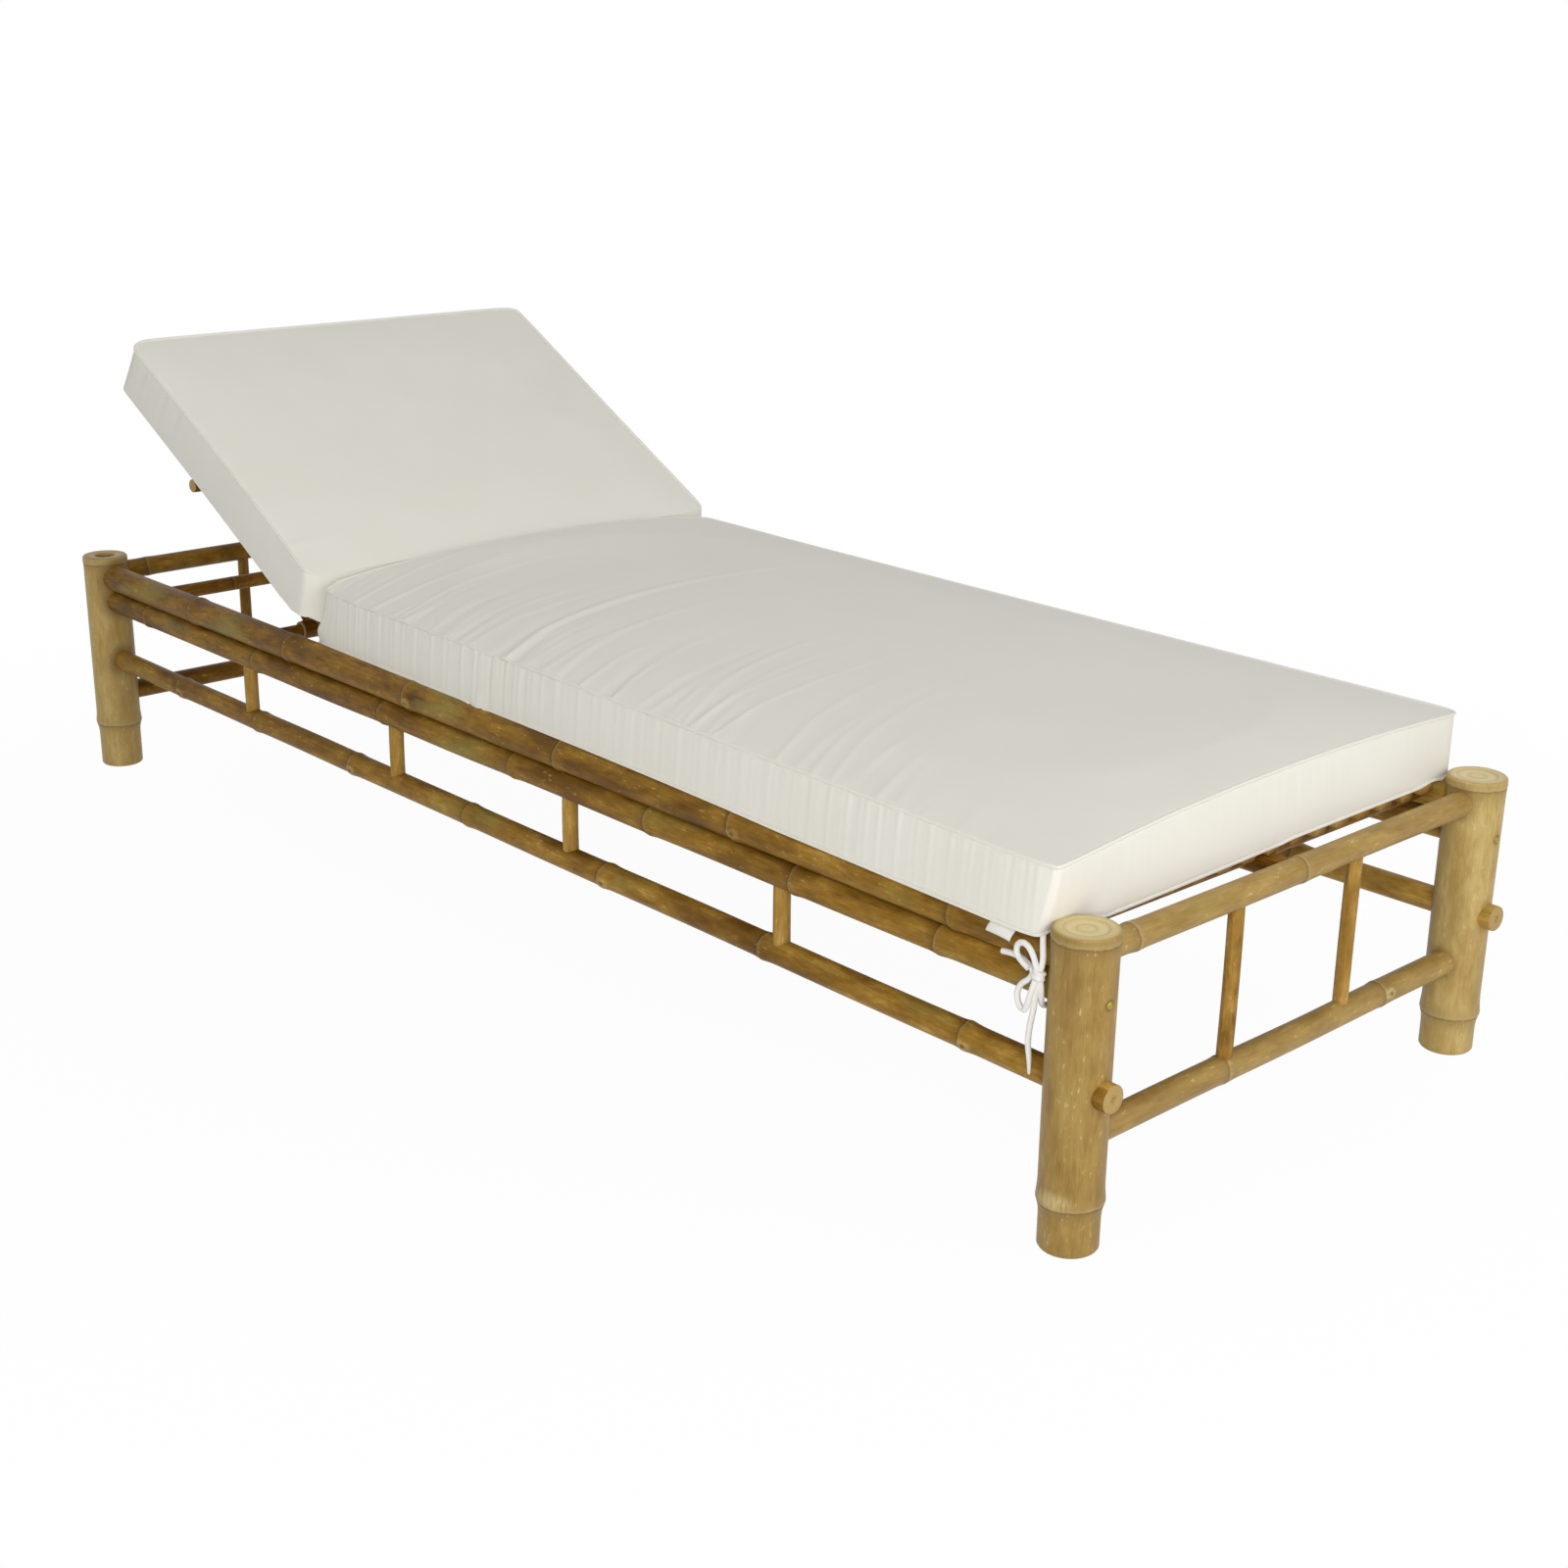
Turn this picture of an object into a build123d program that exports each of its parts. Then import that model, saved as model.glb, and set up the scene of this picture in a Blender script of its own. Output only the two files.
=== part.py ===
from build123d import *
import math
import os

# Bamboo sun lounger with an adjustable backrest, in millimetres.
# +X points from the head end to the foot end, +Y from the near side to the far side, +Z up.
# The origin is on the floor at the centre of the footprint.

# Frame
POST_X = 970.0             # post axes from the middle, along the length
POST_Y = 336.0             # post axes from the middle, across the width
POST_HEIGHT = 331.0
POST_R = 32.5
POST_FOOT_R = 30.5         # below the lowest node
POST_BORE_R = 21.0         # hollow of the culm
POST_NODE_Z = 50.0         # lowest node
POST_SEPTUM = 12.0         # closed node under the rim
POST_DISH = 2.0            # sunk face of the rim
POST_OPEN_DEPTH = 30.0     # open hollow in the top of the head post on the near side
POST_OPEN_R = 14.0
RIM_NODE_DROP = 11.0       # node just under the rim

UPPER_RAIL_R = 19.0
UPPER_RAIL_Z = 299.5
MIDDLE_RAIL_R = 16.5
RAIL_GAP = 1.0             # between the stacked upper and middle rails
LOWER_RAIL_R = 14.6
LOWER_RAIL_Z = 171.0
TENON_PROUD = 12.5         # lower rail ends stand out of the posts
PITH_R = 3.0               # small hole in a lower rail's end
PITH_DEPTH = 4.0
TOP_RAIL_R = 14.2
TOP_RAIL_Z = 303.0
LOW_RAIL_R = 14.5
LOW_RAIL_Z = 112.0
SOCKET_STOP = 15.0         # a rail's end stops this far from the post's axis
JOINT_GAP = 0.05           # glued mortises

SIDE_SPINDLE_R = 9.6
SIDE_SPINDLE_X = 368.0     # pitch of the side spindles
SIDE_SPINDLE_SHIFT = 6.0   # their row stands a little nearer the foot
SIDE_SPINDLES = 4
END_SPINDLE_R = 8.5
END_SPINDLE_Y = 103.0
SPINDLE_DEPTH = 9.0        # spindle ends in their rails

NODE_RIDGE = 0.9           # ring round a culm at each node
NODE_LENGTH = 8.0
INTERNODE = 262.0          # usual distance between nodes of a short rail
UPPER_NODES = (-0.718, -0.444, -0.140, 0.188, 0.512, 0.850)   # shares of half the rail
MIDDLE_NODES = (-0.869, -0.538, -0.205, 0.092, 0.360, 0.612, 0.831)
LOWER_NODES = (-0.733, -0.517, -0.276, -0.015, 0.253, 0.525, 0.816)

# Deck
SLAT_TOP = 26.0            # slat width on top
SLAT_BOTTOM = 19.0
SLAT_THICK = 9.0
SLAT_SIDE_GAP = 17.0       # outermost slat to the upper rail
SEAT_SLATS = 15
BACK_SLATS = 13
SLAT_OVERHANG = 30.0       # slat ends past the last cross pole
CENTRE_POLE_R = 13.0
CROSS_POLE_R = 9.5
CROSS_POLE_PITCH = 410.0
CROSS_POLES = 3
CROSS_TENON_R = 6.0
CROSS_TENON = 7.0
POLE_SOCKET = 8.0          # pole ends in the upper rails, short of the rail's axis
REAR_POLE_R = 12.0
HEAD_POLE_R = 10.5
HEAD_POLE_X = -838.0

# Backrest
HINGE_X = -375.0
HINGE_Z = 300.0
HINGE_POLE_R = 9.0
HINGE_TUBE_R = 13.0
HINGE_TUBE_END = 7.0       # side play of the hinge tube between the rails
RUNNING_GAP = 0.05
REST_ANGLE = 30.0          # backrest as photographed
MAX_ANGLE = 45.0
LOWEST_ANGLE = 1.25        # stiles lie on the head cross pole, cushion just over the posts
STILE_R = 10.0
STILE_Y = 285.0
BACK_LENGTH = 556.0        # hinge axis to the stile's head end
BACK_POLE_R = 7.5
BACK_POLES = 4
BACK_POLE_FIRST = 120.0
BACK_POLE_PITCH = 142.0
BACK_TENON_R = 5.0
BACK_TENON = 7.0
REST_GAP = 0.3             # lowered backrest over the poles under it

# Prop
PIVOT_X = -560.0
PIVOT_POLE_R = 9.0
SLEEVE_R = 13.0
LEG_Y = 225.0
LEG_R = 9.0
SLEEVE_PAST_LEG = 20.0
BAR_R = 9.5
BAR_HALF = 312.0
BAR_ALONG = 388.0          # top bar along the backrest at rest, from the hinge axis
BAR_BELOW = 25.0           # top bar under the hinge axis, square to the backrest
BAR_CLEARANCE = 0.4        # top bar under the notch blocks
FLAT_PROP_ANGLE = 180.5    # prop's angle from +X when the backrest is flat
NOTCH_WIDTH = 12.0
NOTCH_BEFORE = 24.0        # notch block before and after the bar's resting place
NOTCH_AFTER = 36.0
NOTCH_DEPTH = 2.2
NOTCH_PITCH = 22.0
NOTCH_HORN = 3.0           # block's sides reach up beside the stile

# Cushions
CUSHION_THICK = 70.0       # boxing height
CUSHION_DRAW = 7.0         # sides drawn in between the corners
CUSHION_CORNER = 22.0
CUSHION_EDGE = 7.0         # rounded seam edges
CUSHION_REST = 0.3         # cushion over what it lies on
SEAT_CUSHION_WIDTH = 716.0 # at the foot end
SEAT_CUSHION_REAR_WIDTH = 696.0
SEAT_CUSHION_Y = -2.0      # cushion's middle at the foot end
SEAT_CUSHION_REAR_Y = 20.0 # cushion's middle at its rear end, lying a little askew
SEAT_CUSHION_REAR = -371.0
SEAT_CUSHION_FOOT = 934.0
SEAT_CROWN = 14.0
BACK_CUSHION_WIDTH = 682.0
BACK_CUSHION_Y = 2.0       # cushion's middle at the head end
BACK_CUSHION_LOW_Y = 11.0  # cushion's middle by the hinge
BACK_CUSHION_TOP = 574.0   # along the backrest from the hinge axis
BACK_CROWN = 12.0
CUSHION_GAP = 2.0          # between the two cushions over the whole travel

# Screws
SCREW_HEAD_R = 4.0
SCREW_SHANK_R = 2.2
SCREW_LENGTH = 52.0
SCREW_HEAD = 2.5
SCREW_SUNK = 0.6

# Tie at the seat cushion's near foot corner, from the post's axis at the upper rail's height
TIE_R = 3.0
TIE_KNOT = (-31.5, -27.5, -19)
TIE_KNOT_R = 7.0
TIE_KNOT_FLAT = 0.86
TIE_TAIL = [
    (-49, -3, 27.5), (-38, -16.5, 18), (-31, -24, 7.5), (-28, -26, -4.5), (-31, -27, -18.5),
    (-33.5, -28, -37.5), (-35, -28, -56.5), (-39.5, -27, -74.5), (-42.5, -25, -93.5),
    (-41.5, -22.5, -110.5), (-42, -21, -126.5),
]
TIE_WRAP = [
    (-42, 27.6, 22.5), (-41, 28, 3.5), (-40, 27.5, -14.5), (-39, 26, -31.5), (-38.5, 20, -47.5),
    (-38, 8, -57), (-37.5, -7, -58.5), (-33.5, -19, -52), (-28.5, -25.5, -38.5), (-29, -27, -23.5),
    (-33, -30, -10.5), (-36, -31, 0.5), (-44, -31, 9), (-54.5, -30, 8), (-59.5, -29, -1.5),
    (-54, -29.5, -10), (-42, -30, -15),
]
TIE_LOOP = [
    (-32.5, -30.5, -23.5), (-35.5, -32.5, -36.5), (-39, -32, -49.5), (-44, -30.5, -59.5),
    (-52, -29.5, -56), (-55.5, -29.5, -44.5), (-51, -29, -33.5), (-41.5, -27.5, -26.5),
    (-39, -25, -18), (-53, -23, -12), (-67, -22.5, -10), (-81, -23, -12),
]

# Values worked out from the sizes above
MIDDLE_RAIL_Z = UPPER_RAIL_Z - UPPER_RAIL_R - RAIL_GAP - MIDDLE_RAIL_R
DECK_Z = UPPER_RAIL_Z + UPPER_RAIL_R + NODE_RIDGE
SLAT_Z = DECK_Z - SLAT_THICK
CROSS_POLE_Z = SLAT_Z - CROSS_POLE_R
CENTRE_POLE_Z = SLAT_Z - CENTRE_POLE_R
REAR_POLE_Z = SLAT_Z - REAR_POLE_R
REAR_POLE_X = HINGE_X + HINGE_TUBE_R + REAR_POLE_R + 20.0
LAST_CROSS_X = POST_X - POST_R - SLAT_OVERHANG
RAIL_INNER_Y = POST_Y - UPPER_RAIL_R
SLAT_PITCH = (2 * (RAIL_INNER_Y - SLAT_SIDE_GAP) - SLAT_TOP) / (SEAT_SLATS - 1)
POLE_END_Y = POST_Y - POLE_SOCKET
STILE_UNDER_Z = HINGE_Z - STILE_R
PIVOT_Z = STILE_UNDER_Z - REST_GAP - PIVOT_POLE_R
HEAD_POLE_Z = (
    HINGE_Z + (HINGE_X - HEAD_POLE_X) * math.tan(math.radians(LOWEST_ANGLE))
    - (STILE_R + REST_GAP + HEAD_POLE_R) / math.cos(math.radians(LOWEST_ANGLE)))
BACK_POLE_Z = SLAT_Z - BACK_POLE_R
BACK_SLAT_START = 14.0 + HINGE_TUBE_R - 13.0
SIDES = {"near": -1, "far": 1}
ENDS = {"foot": 1, "head": -1}


def lifted(angle):
    """Placement of the backrest at an angle above flat, about the hinge axis."""
    hinge = Pos(HINGE_X, 0, HINGE_Z)
    return hinge * Rot(0, angle, 0) * Pos(-HINGE_X, 0, -HINGE_Z)


def rod(start, end, radius):
    """Plain round bar between two points."""
    axis = Vector(*end) - Vector(*start)
    return Plane(origin=start, z_dir=axis) * Cylinder(
        radius, axis.length, align=(Align.CENTER, Align.CENTER, Align.MIN))


def culm(start, end, radius, nodes=()):
    """Round pole with a low ring at each node, a distance along it from its start."""
    axis = Vector(*end) - Vector(*start)
    outline = [(0, 0), (radius, 0)]
    for at in nodes:
        outline += [
            (radius, at - NODE_LENGTH / 2), (radius + NODE_RIDGE, at - NODE_LENGTH / 5),
            (radius + NODE_RIDGE, at + NODE_LENGTH / 5), (radius, at + NODE_LENGTH / 2),
        ]
    outline += [(radius, axis.length), (0, axis.length)]
    profile = make_face(Plane.XZ * Polyline(*outline, close=True))
    return Plane(origin=start, z_dir=axis) * revolve(profile, Axis.Z)


def node_places(length, first, pitch=INTERNODE):
    """Distances of the nodes along a pole, clear of both its ends."""
    count = int((length - first - NODE_LENGTH * 3) // pitch) + 1
    return [first + pitch * index for index in range(max(count, 0))]


def rail_nodes(shares, length, side):
    """Distances of the nodes along a side rail; the far side's rails lie the other way round."""
    return sorted(length / 2 * (1 - side * share) for share in shares)


def across(x, z, radius, end=POLE_END_Y):
    """Cross pole through the middle, from one side to the other."""
    return rod((x, -end, z), (x, end, z), radius)


def post(end, side, open_top):
    """Hollow post with a node above the floor, one under the rim, and mortises for its rails."""
    ridge = NODE_RIDGE * 1.6
    rim_node = POST_HEIGHT - RIM_NODE_DROP
    outline = [
        (0, 0), (POST_FOOT_R, 0), (POST_FOOT_R, POST_NODE_Z - NODE_LENGTH),
        (POST_R + ridge, POST_NODE_Z - NODE_LENGTH / 4), (POST_R + ridge, POST_NODE_Z + NODE_LENGTH / 4),
        (POST_R, POST_NODE_Z + NODE_LENGTH), (POST_R, rim_node - NODE_LENGTH / 2),
        (POST_R + NODE_RIDGE, rim_node - NODE_LENGTH / 5), (POST_R + NODE_RIDGE, rim_node + NODE_LENGTH / 5),
        (POST_R, rim_node + NODE_LENGTH / 2), (POST_R, POST_HEIGHT), (0, POST_HEIGHT),
    ]
    body = revolve(make_face(Plane.XZ * Polyline(*outline, close=True)), Axis.Z)
    top_depth = POST_OPEN_DEPTH if open_top else POST_DISH
    top_radius = POST_OPEN_R if open_top else POST_BORE_R
    bore_top = POST_HEIGHT - top_depth - POST_SEPTUM
    body -= rod((0, 0, 0), (0, 0, bore_top), POST_BORE_R)
    body -= rod((0, 0, POST_HEIGHT - top_depth), (0, 0, POST_HEIGHT), top_radius)
    far = POST_R * 2
    for z, radius in ((UPPER_RAIL_Z, UPPER_RAIL_R), (MIDDLE_RAIL_Z, MIDDLE_RAIL_R)):
        body -= rod((-end * SOCKET_STOP, 0, z), (-end * far, 0, z), radius + JOINT_GAP)
    for z, radius in ((TOP_RAIL_Z, TOP_RAIL_R), (LOW_RAIL_Z, LOW_RAIL_R)):
        body -= rod((0, -side * SOCKET_STOP, z), (0, -side * far, z), radius + JOINT_GAP)
    body -= rod((-far, 0, LOWER_RAIL_Z), (far, 0, LOWER_RAIL_Z), LOWER_RAIL_R + JOINT_GAP)
    body = Pos(end * POST_X, side * POST_Y, 0) * body
    return body - post_screw(end, side, JOINT_GAP)


def post_screw(end, side, gap=0.0):
    """Countersunk screw through a post's outer face into the middle rail, or its hole."""
    face = POST_X + POST_R - SCREW_SUNK
    y = side * POST_Y
    head_back = face - SCREW_HEAD
    shank = rod((end * head_back, y, MIDDLE_RAIL_Z), (end * (face - SCREW_LENGTH), y, MIDDLE_RAIL_Z),
                SCREW_SHANK_R + gap)
    head_end = POST_X + POST_R + 1 if gap else face
    head = rod((end * head_back, y, MIDDLE_RAIL_Z), (end * head_end, y, MIDDLE_RAIL_Z), SCREW_HEAD_R + gap)
    return head + shank


def side_spindle_places():
    """Places of the side spindles along the length."""
    middle = (SIDE_SPINDLES - 1) / 2
    return [SIDE_SPINDLE_SHIFT + (index - middle) * SIDE_SPINDLE_X for index in range(SIDE_SPINDLES)]


def side_spindle(x, side, gap=0.0):
    """Spindle between the lower and middle rails, or its mortises."""
    low = LOWER_RAIL_Z + LOWER_RAIL_R - SPINDLE_DEPTH - gap
    high = MIDDLE_RAIL_Z - MIDDLE_RAIL_R + SPINDLE_DEPTH + gap
    return rod((x, side * POST_Y, low), (x, side * POST_Y, high), SIDE_SPINDLE_R + gap)


def end_spindle(end, side, gap=0.0):
    """Spindle between an end's low and top rails, or its mortises."""
    low = LOW_RAIL_Z + LOW_RAIL_R - SPINDLE_DEPTH - gap
    high = TOP_RAIL_Z - TOP_RAIL_R + SPINDLE_DEPTH + gap
    at = (end * POST_X, side * END_SPINDLE_Y)
    return rod((*at, low), (*at, high), END_SPINDLE_R + gap)


def cross_pole_places():
    """Places of the seat's cross poles along the length, from the foot end."""
    return [LAST_CROSS_X - index * CROSS_POLE_PITCH for index in range(CROSS_POLES)]


def seat_cross_pole(x, side, gap=0.0):
    """Short pole from an upper rail to the centre pole, with a tenon at its inner end."""
    inner = CENTRE_POLE_R + 0.3
    body = rod((x, side * inner, CROSS_POLE_Z), (x, side * POLE_END_Y, CROSS_POLE_Z), CROSS_POLE_R + gap)
    tenon = rod((x, side * (inner - CROSS_TENON), CROSS_POLE_Z), (x, side * inner, CROSS_POLE_Z),
                CROSS_TENON_R + gap)
    return body + tenon


def upper_rail(side):
    """Upper side rail, with mortises for every pole that it carries."""
    length = 2 * (POST_X - SOCKET_STOP)
    rail = culm((-length / 2, side * POST_Y, UPPER_RAIL_Z), (length / 2, side * POST_Y, UPPER_RAIL_Z),
                UPPER_RAIL_R, rail_nodes(UPPER_NODES, length, side))
    for x in cross_pole_places():
        rail -= seat_cross_pole(x, side, JOINT_GAP)
    for x, z, radius in through_poles():
        rail -= across(x, z, radius + JOINT_GAP)
    return rail


def through_poles():
    """Place and radius of the poles that run from side to side."""
    return [
        (REAR_POLE_X, REAR_POLE_Z, REAR_POLE_R), (HINGE_X, HINGE_Z, HINGE_POLE_R),
        (PIVOT_X, PIVOT_Z, PIVOT_POLE_R), (HEAD_POLE_X, HEAD_POLE_Z, HEAD_POLE_R),
    ]


def middle_rail(side):
    """Middle side rail, straight under the upper one."""
    length = 2 * (POST_X - SOCKET_STOP)
    rail = culm((-length / 2, side * POST_Y, MIDDLE_RAIL_Z), (length / 2, side * POST_Y, MIDDLE_RAIL_Z),
                MIDDLE_RAIL_R, rail_nodes(MIDDLE_NODES, length, side))
    for x in side_spindle_places():
        rail -= side_spindle(x, side, JOINT_GAP)
    for x, z, radius in through_poles():
        rail -= across(x, z, radius + JOINT_GAP)
    for end in ENDS.values():
        rail -= post_screw(end, side, JOINT_GAP)
    return rail


def lower_rail(side):
    """Lower side rail, whose ends go through the posts and stand proud."""
    half = POST_X + POST_R + TENON_PROUD
    y = side * POST_Y
    rail = culm((-half, y, LOWER_RAIL_Z), (half, y, LOWER_RAIL_Z), LOWER_RAIL_R,
                rail_nodes(LOWER_NODES, 2 * half, side))
    for x in side_spindle_places():
        rail -= side_spindle(x, side, JOINT_GAP)
    for end in ENDS.values():
        rail -= rod((end * half, y, LOWER_RAIL_Z), (end * (half - PITH_DEPTH), y, LOWER_RAIL_Z), PITH_R)
    return rail


def end_rail(end, z, radius, first):
    """Rail across one end, let into its two posts."""
    half = POST_Y - SOCKET_STOP
    rail = culm((end * POST_X, -half, z), (end * POST_X, half, z), radius, node_places(2 * half, first))
    for side in SIDES.values():
        rail -= end_spindle(end, side, JOINT_GAP)
    return rail


def centre_pole(gap=0.0):
    """Lengthwise pole under the slats, tenoned into the foot rail and the rear pole."""
    foot = POST_X - TOP_RAIL_R
    rear = REAR_POLE_X + REAR_POLE_R + 0.2
    body = rod((rear, 0, CENTRE_POLE_Z), (foot, 0, CENTRE_POLE_Z), CENTRE_POLE_R)
    tenons = rod((rear - CROSS_TENON, 0, CENTRE_POLE_Z), (foot + CROSS_TENON, 0, CENTRE_POLE_Z),
                 CROSS_TENON_R + gap)
    return body + tenons


def slat(start, end, y):
    """Split-bamboo slat, flat on top and narrower underneath, along the length."""
    top = SLAT_TOP / 2
    bottom = SLAT_BOTTOM / 2
    section = make_face(Plane(origin=(start, y, SLAT_Z), x_dir=(0, 1, 0), z_dir=(1, 0, 0)) * Polyline(
        (-bottom, 0), (bottom, 0), (top, SLAT_THICK * 0.55), (top, SLAT_THICK),
        (-top, SLAT_THICK), (-top, SLAT_THICK * 0.55), close=True))
    return extrude(section, end - start, dir=(1, 0, 0))


def slats(start, end, count):
    """Row of slats side by side."""
    return [slat(start, end, (index - (count - 1) / 2) * SLAT_PITCH) for index in range(count)]


def cushion(start, end, crown):
    """Box cushion: sides drawn in between the corners, a crowned top and rounded edges.

    Each end is given as its place along the length, the cushion's middle there and its width.
    """
    start_x, start_y, start_width = start
    end_x, end_y, end_width = end
    middle_x = (start_x + end_x) / 2
    centre_y = (start_y + end_y) / 2
    half = (start_width + end_width) / 4
    corners = [
        (start_x, start_y - start_width / 2), (end_x, end_y - end_width / 2),
        (end_x, end_y + end_width / 2), (start_x, start_y + start_width / 2),
    ]
    pulls = [
        (middle_x, centre_y - half + CUSHION_DRAW), (end_x - CUSHION_DRAW, end_y),
        (middle_x, centre_y + half - CUSHION_DRAW), (start_x + CUSHION_DRAW, start_y),
    ]
    arcs = [ThreePointArc(corners[i], pulls[i], corners[(i + 1) % 4]) for i in range(4)]
    outline = fillet(make_face(Wire(arcs)).vertices(), CUSHION_CORNER)
    base = DECK_Z + CUSHION_REST
    length = end_x - start_x
    block = Pos(0, 0, base) * extrude(outline, CUSHION_THICK + crown)
    block &= Pos(middle_x, centre_y, base) * dome(length * 0.55, half * 1.1, CUSHION_THICK + crown, crown / 2)
    rims = block.faces().sort_by(Axis.Z)[-1].edges() + block.faces().sort_by(Axis.Z)[0].edges()
    return fillet(rims, CUSHION_EDGE)


def dome(half_length, half_width, height, rise):
    """Block whose top is crowned both ways, falling by the rise to the middle of each side."""
    along_radius = (half_length ** 2 + rise ** 2) / (2 * rise)
    turn = math.degrees(math.asin(half_length / along_radius)) * 1.2
    edge = height - rise
    section = make_face([
        Plane.YZ * ThreePointArc((-half_width, edge), (0, height), (half_width, edge)),
        Plane.YZ * Polyline((half_width, edge), (half_width, -height), (-half_width, -height), (-half_width, edge)),
    ])
    axis = Axis((0, 0, height - along_radius), (0, 1, 0))
    return revolve(section.rotate(axis, -turn), axis, 2 * turn)


def back_cushion():
    """Back cushion as it lies flat, its lower end cut back so that it clears the seat cushion."""
    head = (HINGE_X - BACK_CUSHION_TOP, BACK_CUSHION_Y, BACK_CUSHION_WIDTH)
    block = cushion(head, (HINGE_X, BACK_CUSHION_LOW_Y, BACK_CUSHION_WIDTH), BACK_CROWN)
    cutter = Box(400, BACK_CUSHION_WIDTH * 1.2, 600, align=(Align.MIN, Align.CENTER, Align.CENTER))
    cutter = Pos(HINGE_X - CUSHION_GAP, BACK_CUSHION_Y, HINGE_Z) * cutter
    return block - lifted(-MAX_ANGLE) * cutter


def bar_place():
    """Top bar's centre with the backrest at rest, as (x, z)."""
    at = lifted(REST_ANGLE) * Pos(HINGE_X - BAR_ALONG, 0, HINGE_Z - BAR_BELOW)
    return at.position.X, at.position.Z


def prop_ratio():
    """Prop's turn for one degree of the backrest, so that both are flat together."""
    x, z = bar_place()
    rest = math.degrees(math.atan2(z - PIVOT_Z, x - PIVOT_X))
    return (FLAT_PROP_ANGLE - rest) / REST_ANGLE


def bar_on_backrest(angle):
    """Top bar's centre in the flat backrest's own places, with the backrest at an angle."""
    x, z = bar_place()
    swing = Pos(PIVOT_X, 0, PIVOT_Z) * Rot(0, (angle - REST_ANGLE) * prop_ratio(), 0) * Pos(
        x - PIVOT_X, 0, z - PIVOT_Z)
    at = lifted(-angle) * swing
    return at.position.X, at.position.Z


def notch_block(side):
    """Block under a stile whose lower edge follows the top bar's path, with shallow notches."""
    reach = BAR_R + BAR_CLEARANCE
    angles = [MAX_ANGLE * step / 12 for step in range(13)]
    path = [bar_on_backrest(angle) for angle in angles]
    rest_x, rest_z = bar_on_backrest(REST_ANGLE)
    kept = [(x, z + reach) for x, z in path if -NOTCH_AFTER < x - rest_x < NOTCH_BEFORE]
    top = STILE_UNDER_Z + NOTCH_HORN
    outline = [(kept[0][0], top)] + kept + [(kept[-1][0], top)]
    y = side * STILE_Y
    section = make_face(Plane(origin=(0, y, 0), x_dir=(1, 0, 0), z_dir=(0, -1, 0)) * Polyline(*outline, close=True))
    block = extrude(section, NOTCH_WIDTH / 2, both=True)
    block -= rod((HINGE_X, y, HINGE_Z), (HINGE_X - BACK_LENGTH, y, HINGE_Z), STILE_R)
    for step in (-1, 0, 1):
        x = rest_x + step * NOTCH_PITCH
        edge = min(kept, key=lambda point: abs(point[0] - x))[1]
        z = edge - BAR_R + NOTCH_DEPTH
        block -= rod((x, y - NOTCH_WIDTH, z), (x, y + NOTCH_WIDTH, z), BAR_R)
    return block


def back_stile(side):
    """Long side of the backrest, butted on the hinge tube."""
    y = side * STILE_Y
    stile = culm((HINGE_X - BACK_LENGTH, y, HINGE_Z), (HINGE_X, y, HINGE_Z), STILE_R,
                 node_places(BACK_LENGTH - 60, 70.0, 180.0))
    stile -= rod((HINGE_X, y - 50, HINGE_Z), (HINGE_X, y + 50, HINGE_Z), HINGE_TUBE_R)
    for along in back_pole_places():
        stile -= back_cross_pole(along, JOINT_GAP)
    return stile


def back_pole_places():
    """Places of the backrest's cross poles from the hinge axis."""
    return [BACK_POLE_FIRST + index * BACK_POLE_PITCH for index in range(BACK_POLES)]


def back_cross_pole(along, gap=0.0):
    """Cross pole of the backrest, tenoned into both stiles."""
    x = HINGE_X - along
    shoulder = STILE_Y - STILE_R
    tip = shoulder + BACK_TENON
    body = across(x, BACK_POLE_Z, BACK_POLE_R, shoulder)
    return body + across(x, BACK_POLE_Z, BACK_TENON_R + gap, tip)


def tube(radius, bore, x, z, half):
    """Hollow culm across the width, turning on the pole inside it."""
    return across(x, z, radius, half) - across(x, z, bore, half + 1)


def prop_leg(side):
    """Prop leg, butted on the sleeve and on the top bar."""
    x, z = bar_place()
    y = side * LEG_Y
    leg = rod((PIVOT_X, y, PIVOT_Z), (x, y, z), LEG_R)
    leg -= across(PIVOT_X, PIVOT_Z, SLEEVE_R)
    return leg - across(x, z, BAR_R)


def from_near_foot(offset):
    """Place of a point given from the near foot post's axis at the upper rail's height."""
    return offset[0] + POST_X, offset[1] - POST_Y, offset[2] + UPPER_RAIL_Z


def cord_radii(points):
    """Largest bend at each corner of a route, with at most 0.45 of the shorter run used up."""
    radii = []
    for before, at, after in zip(points, points[1:], points[2:]):
        into = Vector(*at) - Vector(*before)
        out = Vector(*after) - Vector(*at)
        turn = math.radians(into.get_angle(out))
        radii.append(0.45 * min(into.length, out.length) / math.tan(turn / 2))
    return radii


def cord(name, points):
    """Round cord along straight runs joined by tangent arcs."""
    points = [from_near_foot(point) for point in points]
    radii = cord_radii(points)
    path = FilletPolyline(*points, radius=radii)
    solid = sweep(Plane(path @ 0, z_dir=path % 0) * Circle(TIE_R), path=path)
    share = solid.volume / (math.pi * TIE_R ** 2 * path.length)
    print(name, "length", round(path.length, 1), "volume share", round(share, 4),
          "radii", [round(radius, 1) for radius in radii])
    return solid


def tie_knot():
    """Small knot, flattened against the rails."""
    ball = Sphere(TIE_KNOT_R)
    slab = Box(TIE_KNOT_R * 2, TIE_KNOT_R * 2 * TIE_KNOT_FLAT, TIE_KNOT_R * 2)
    return Pos(*from_near_foot(TIE_KNOT)) * (ball & slab)


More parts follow.
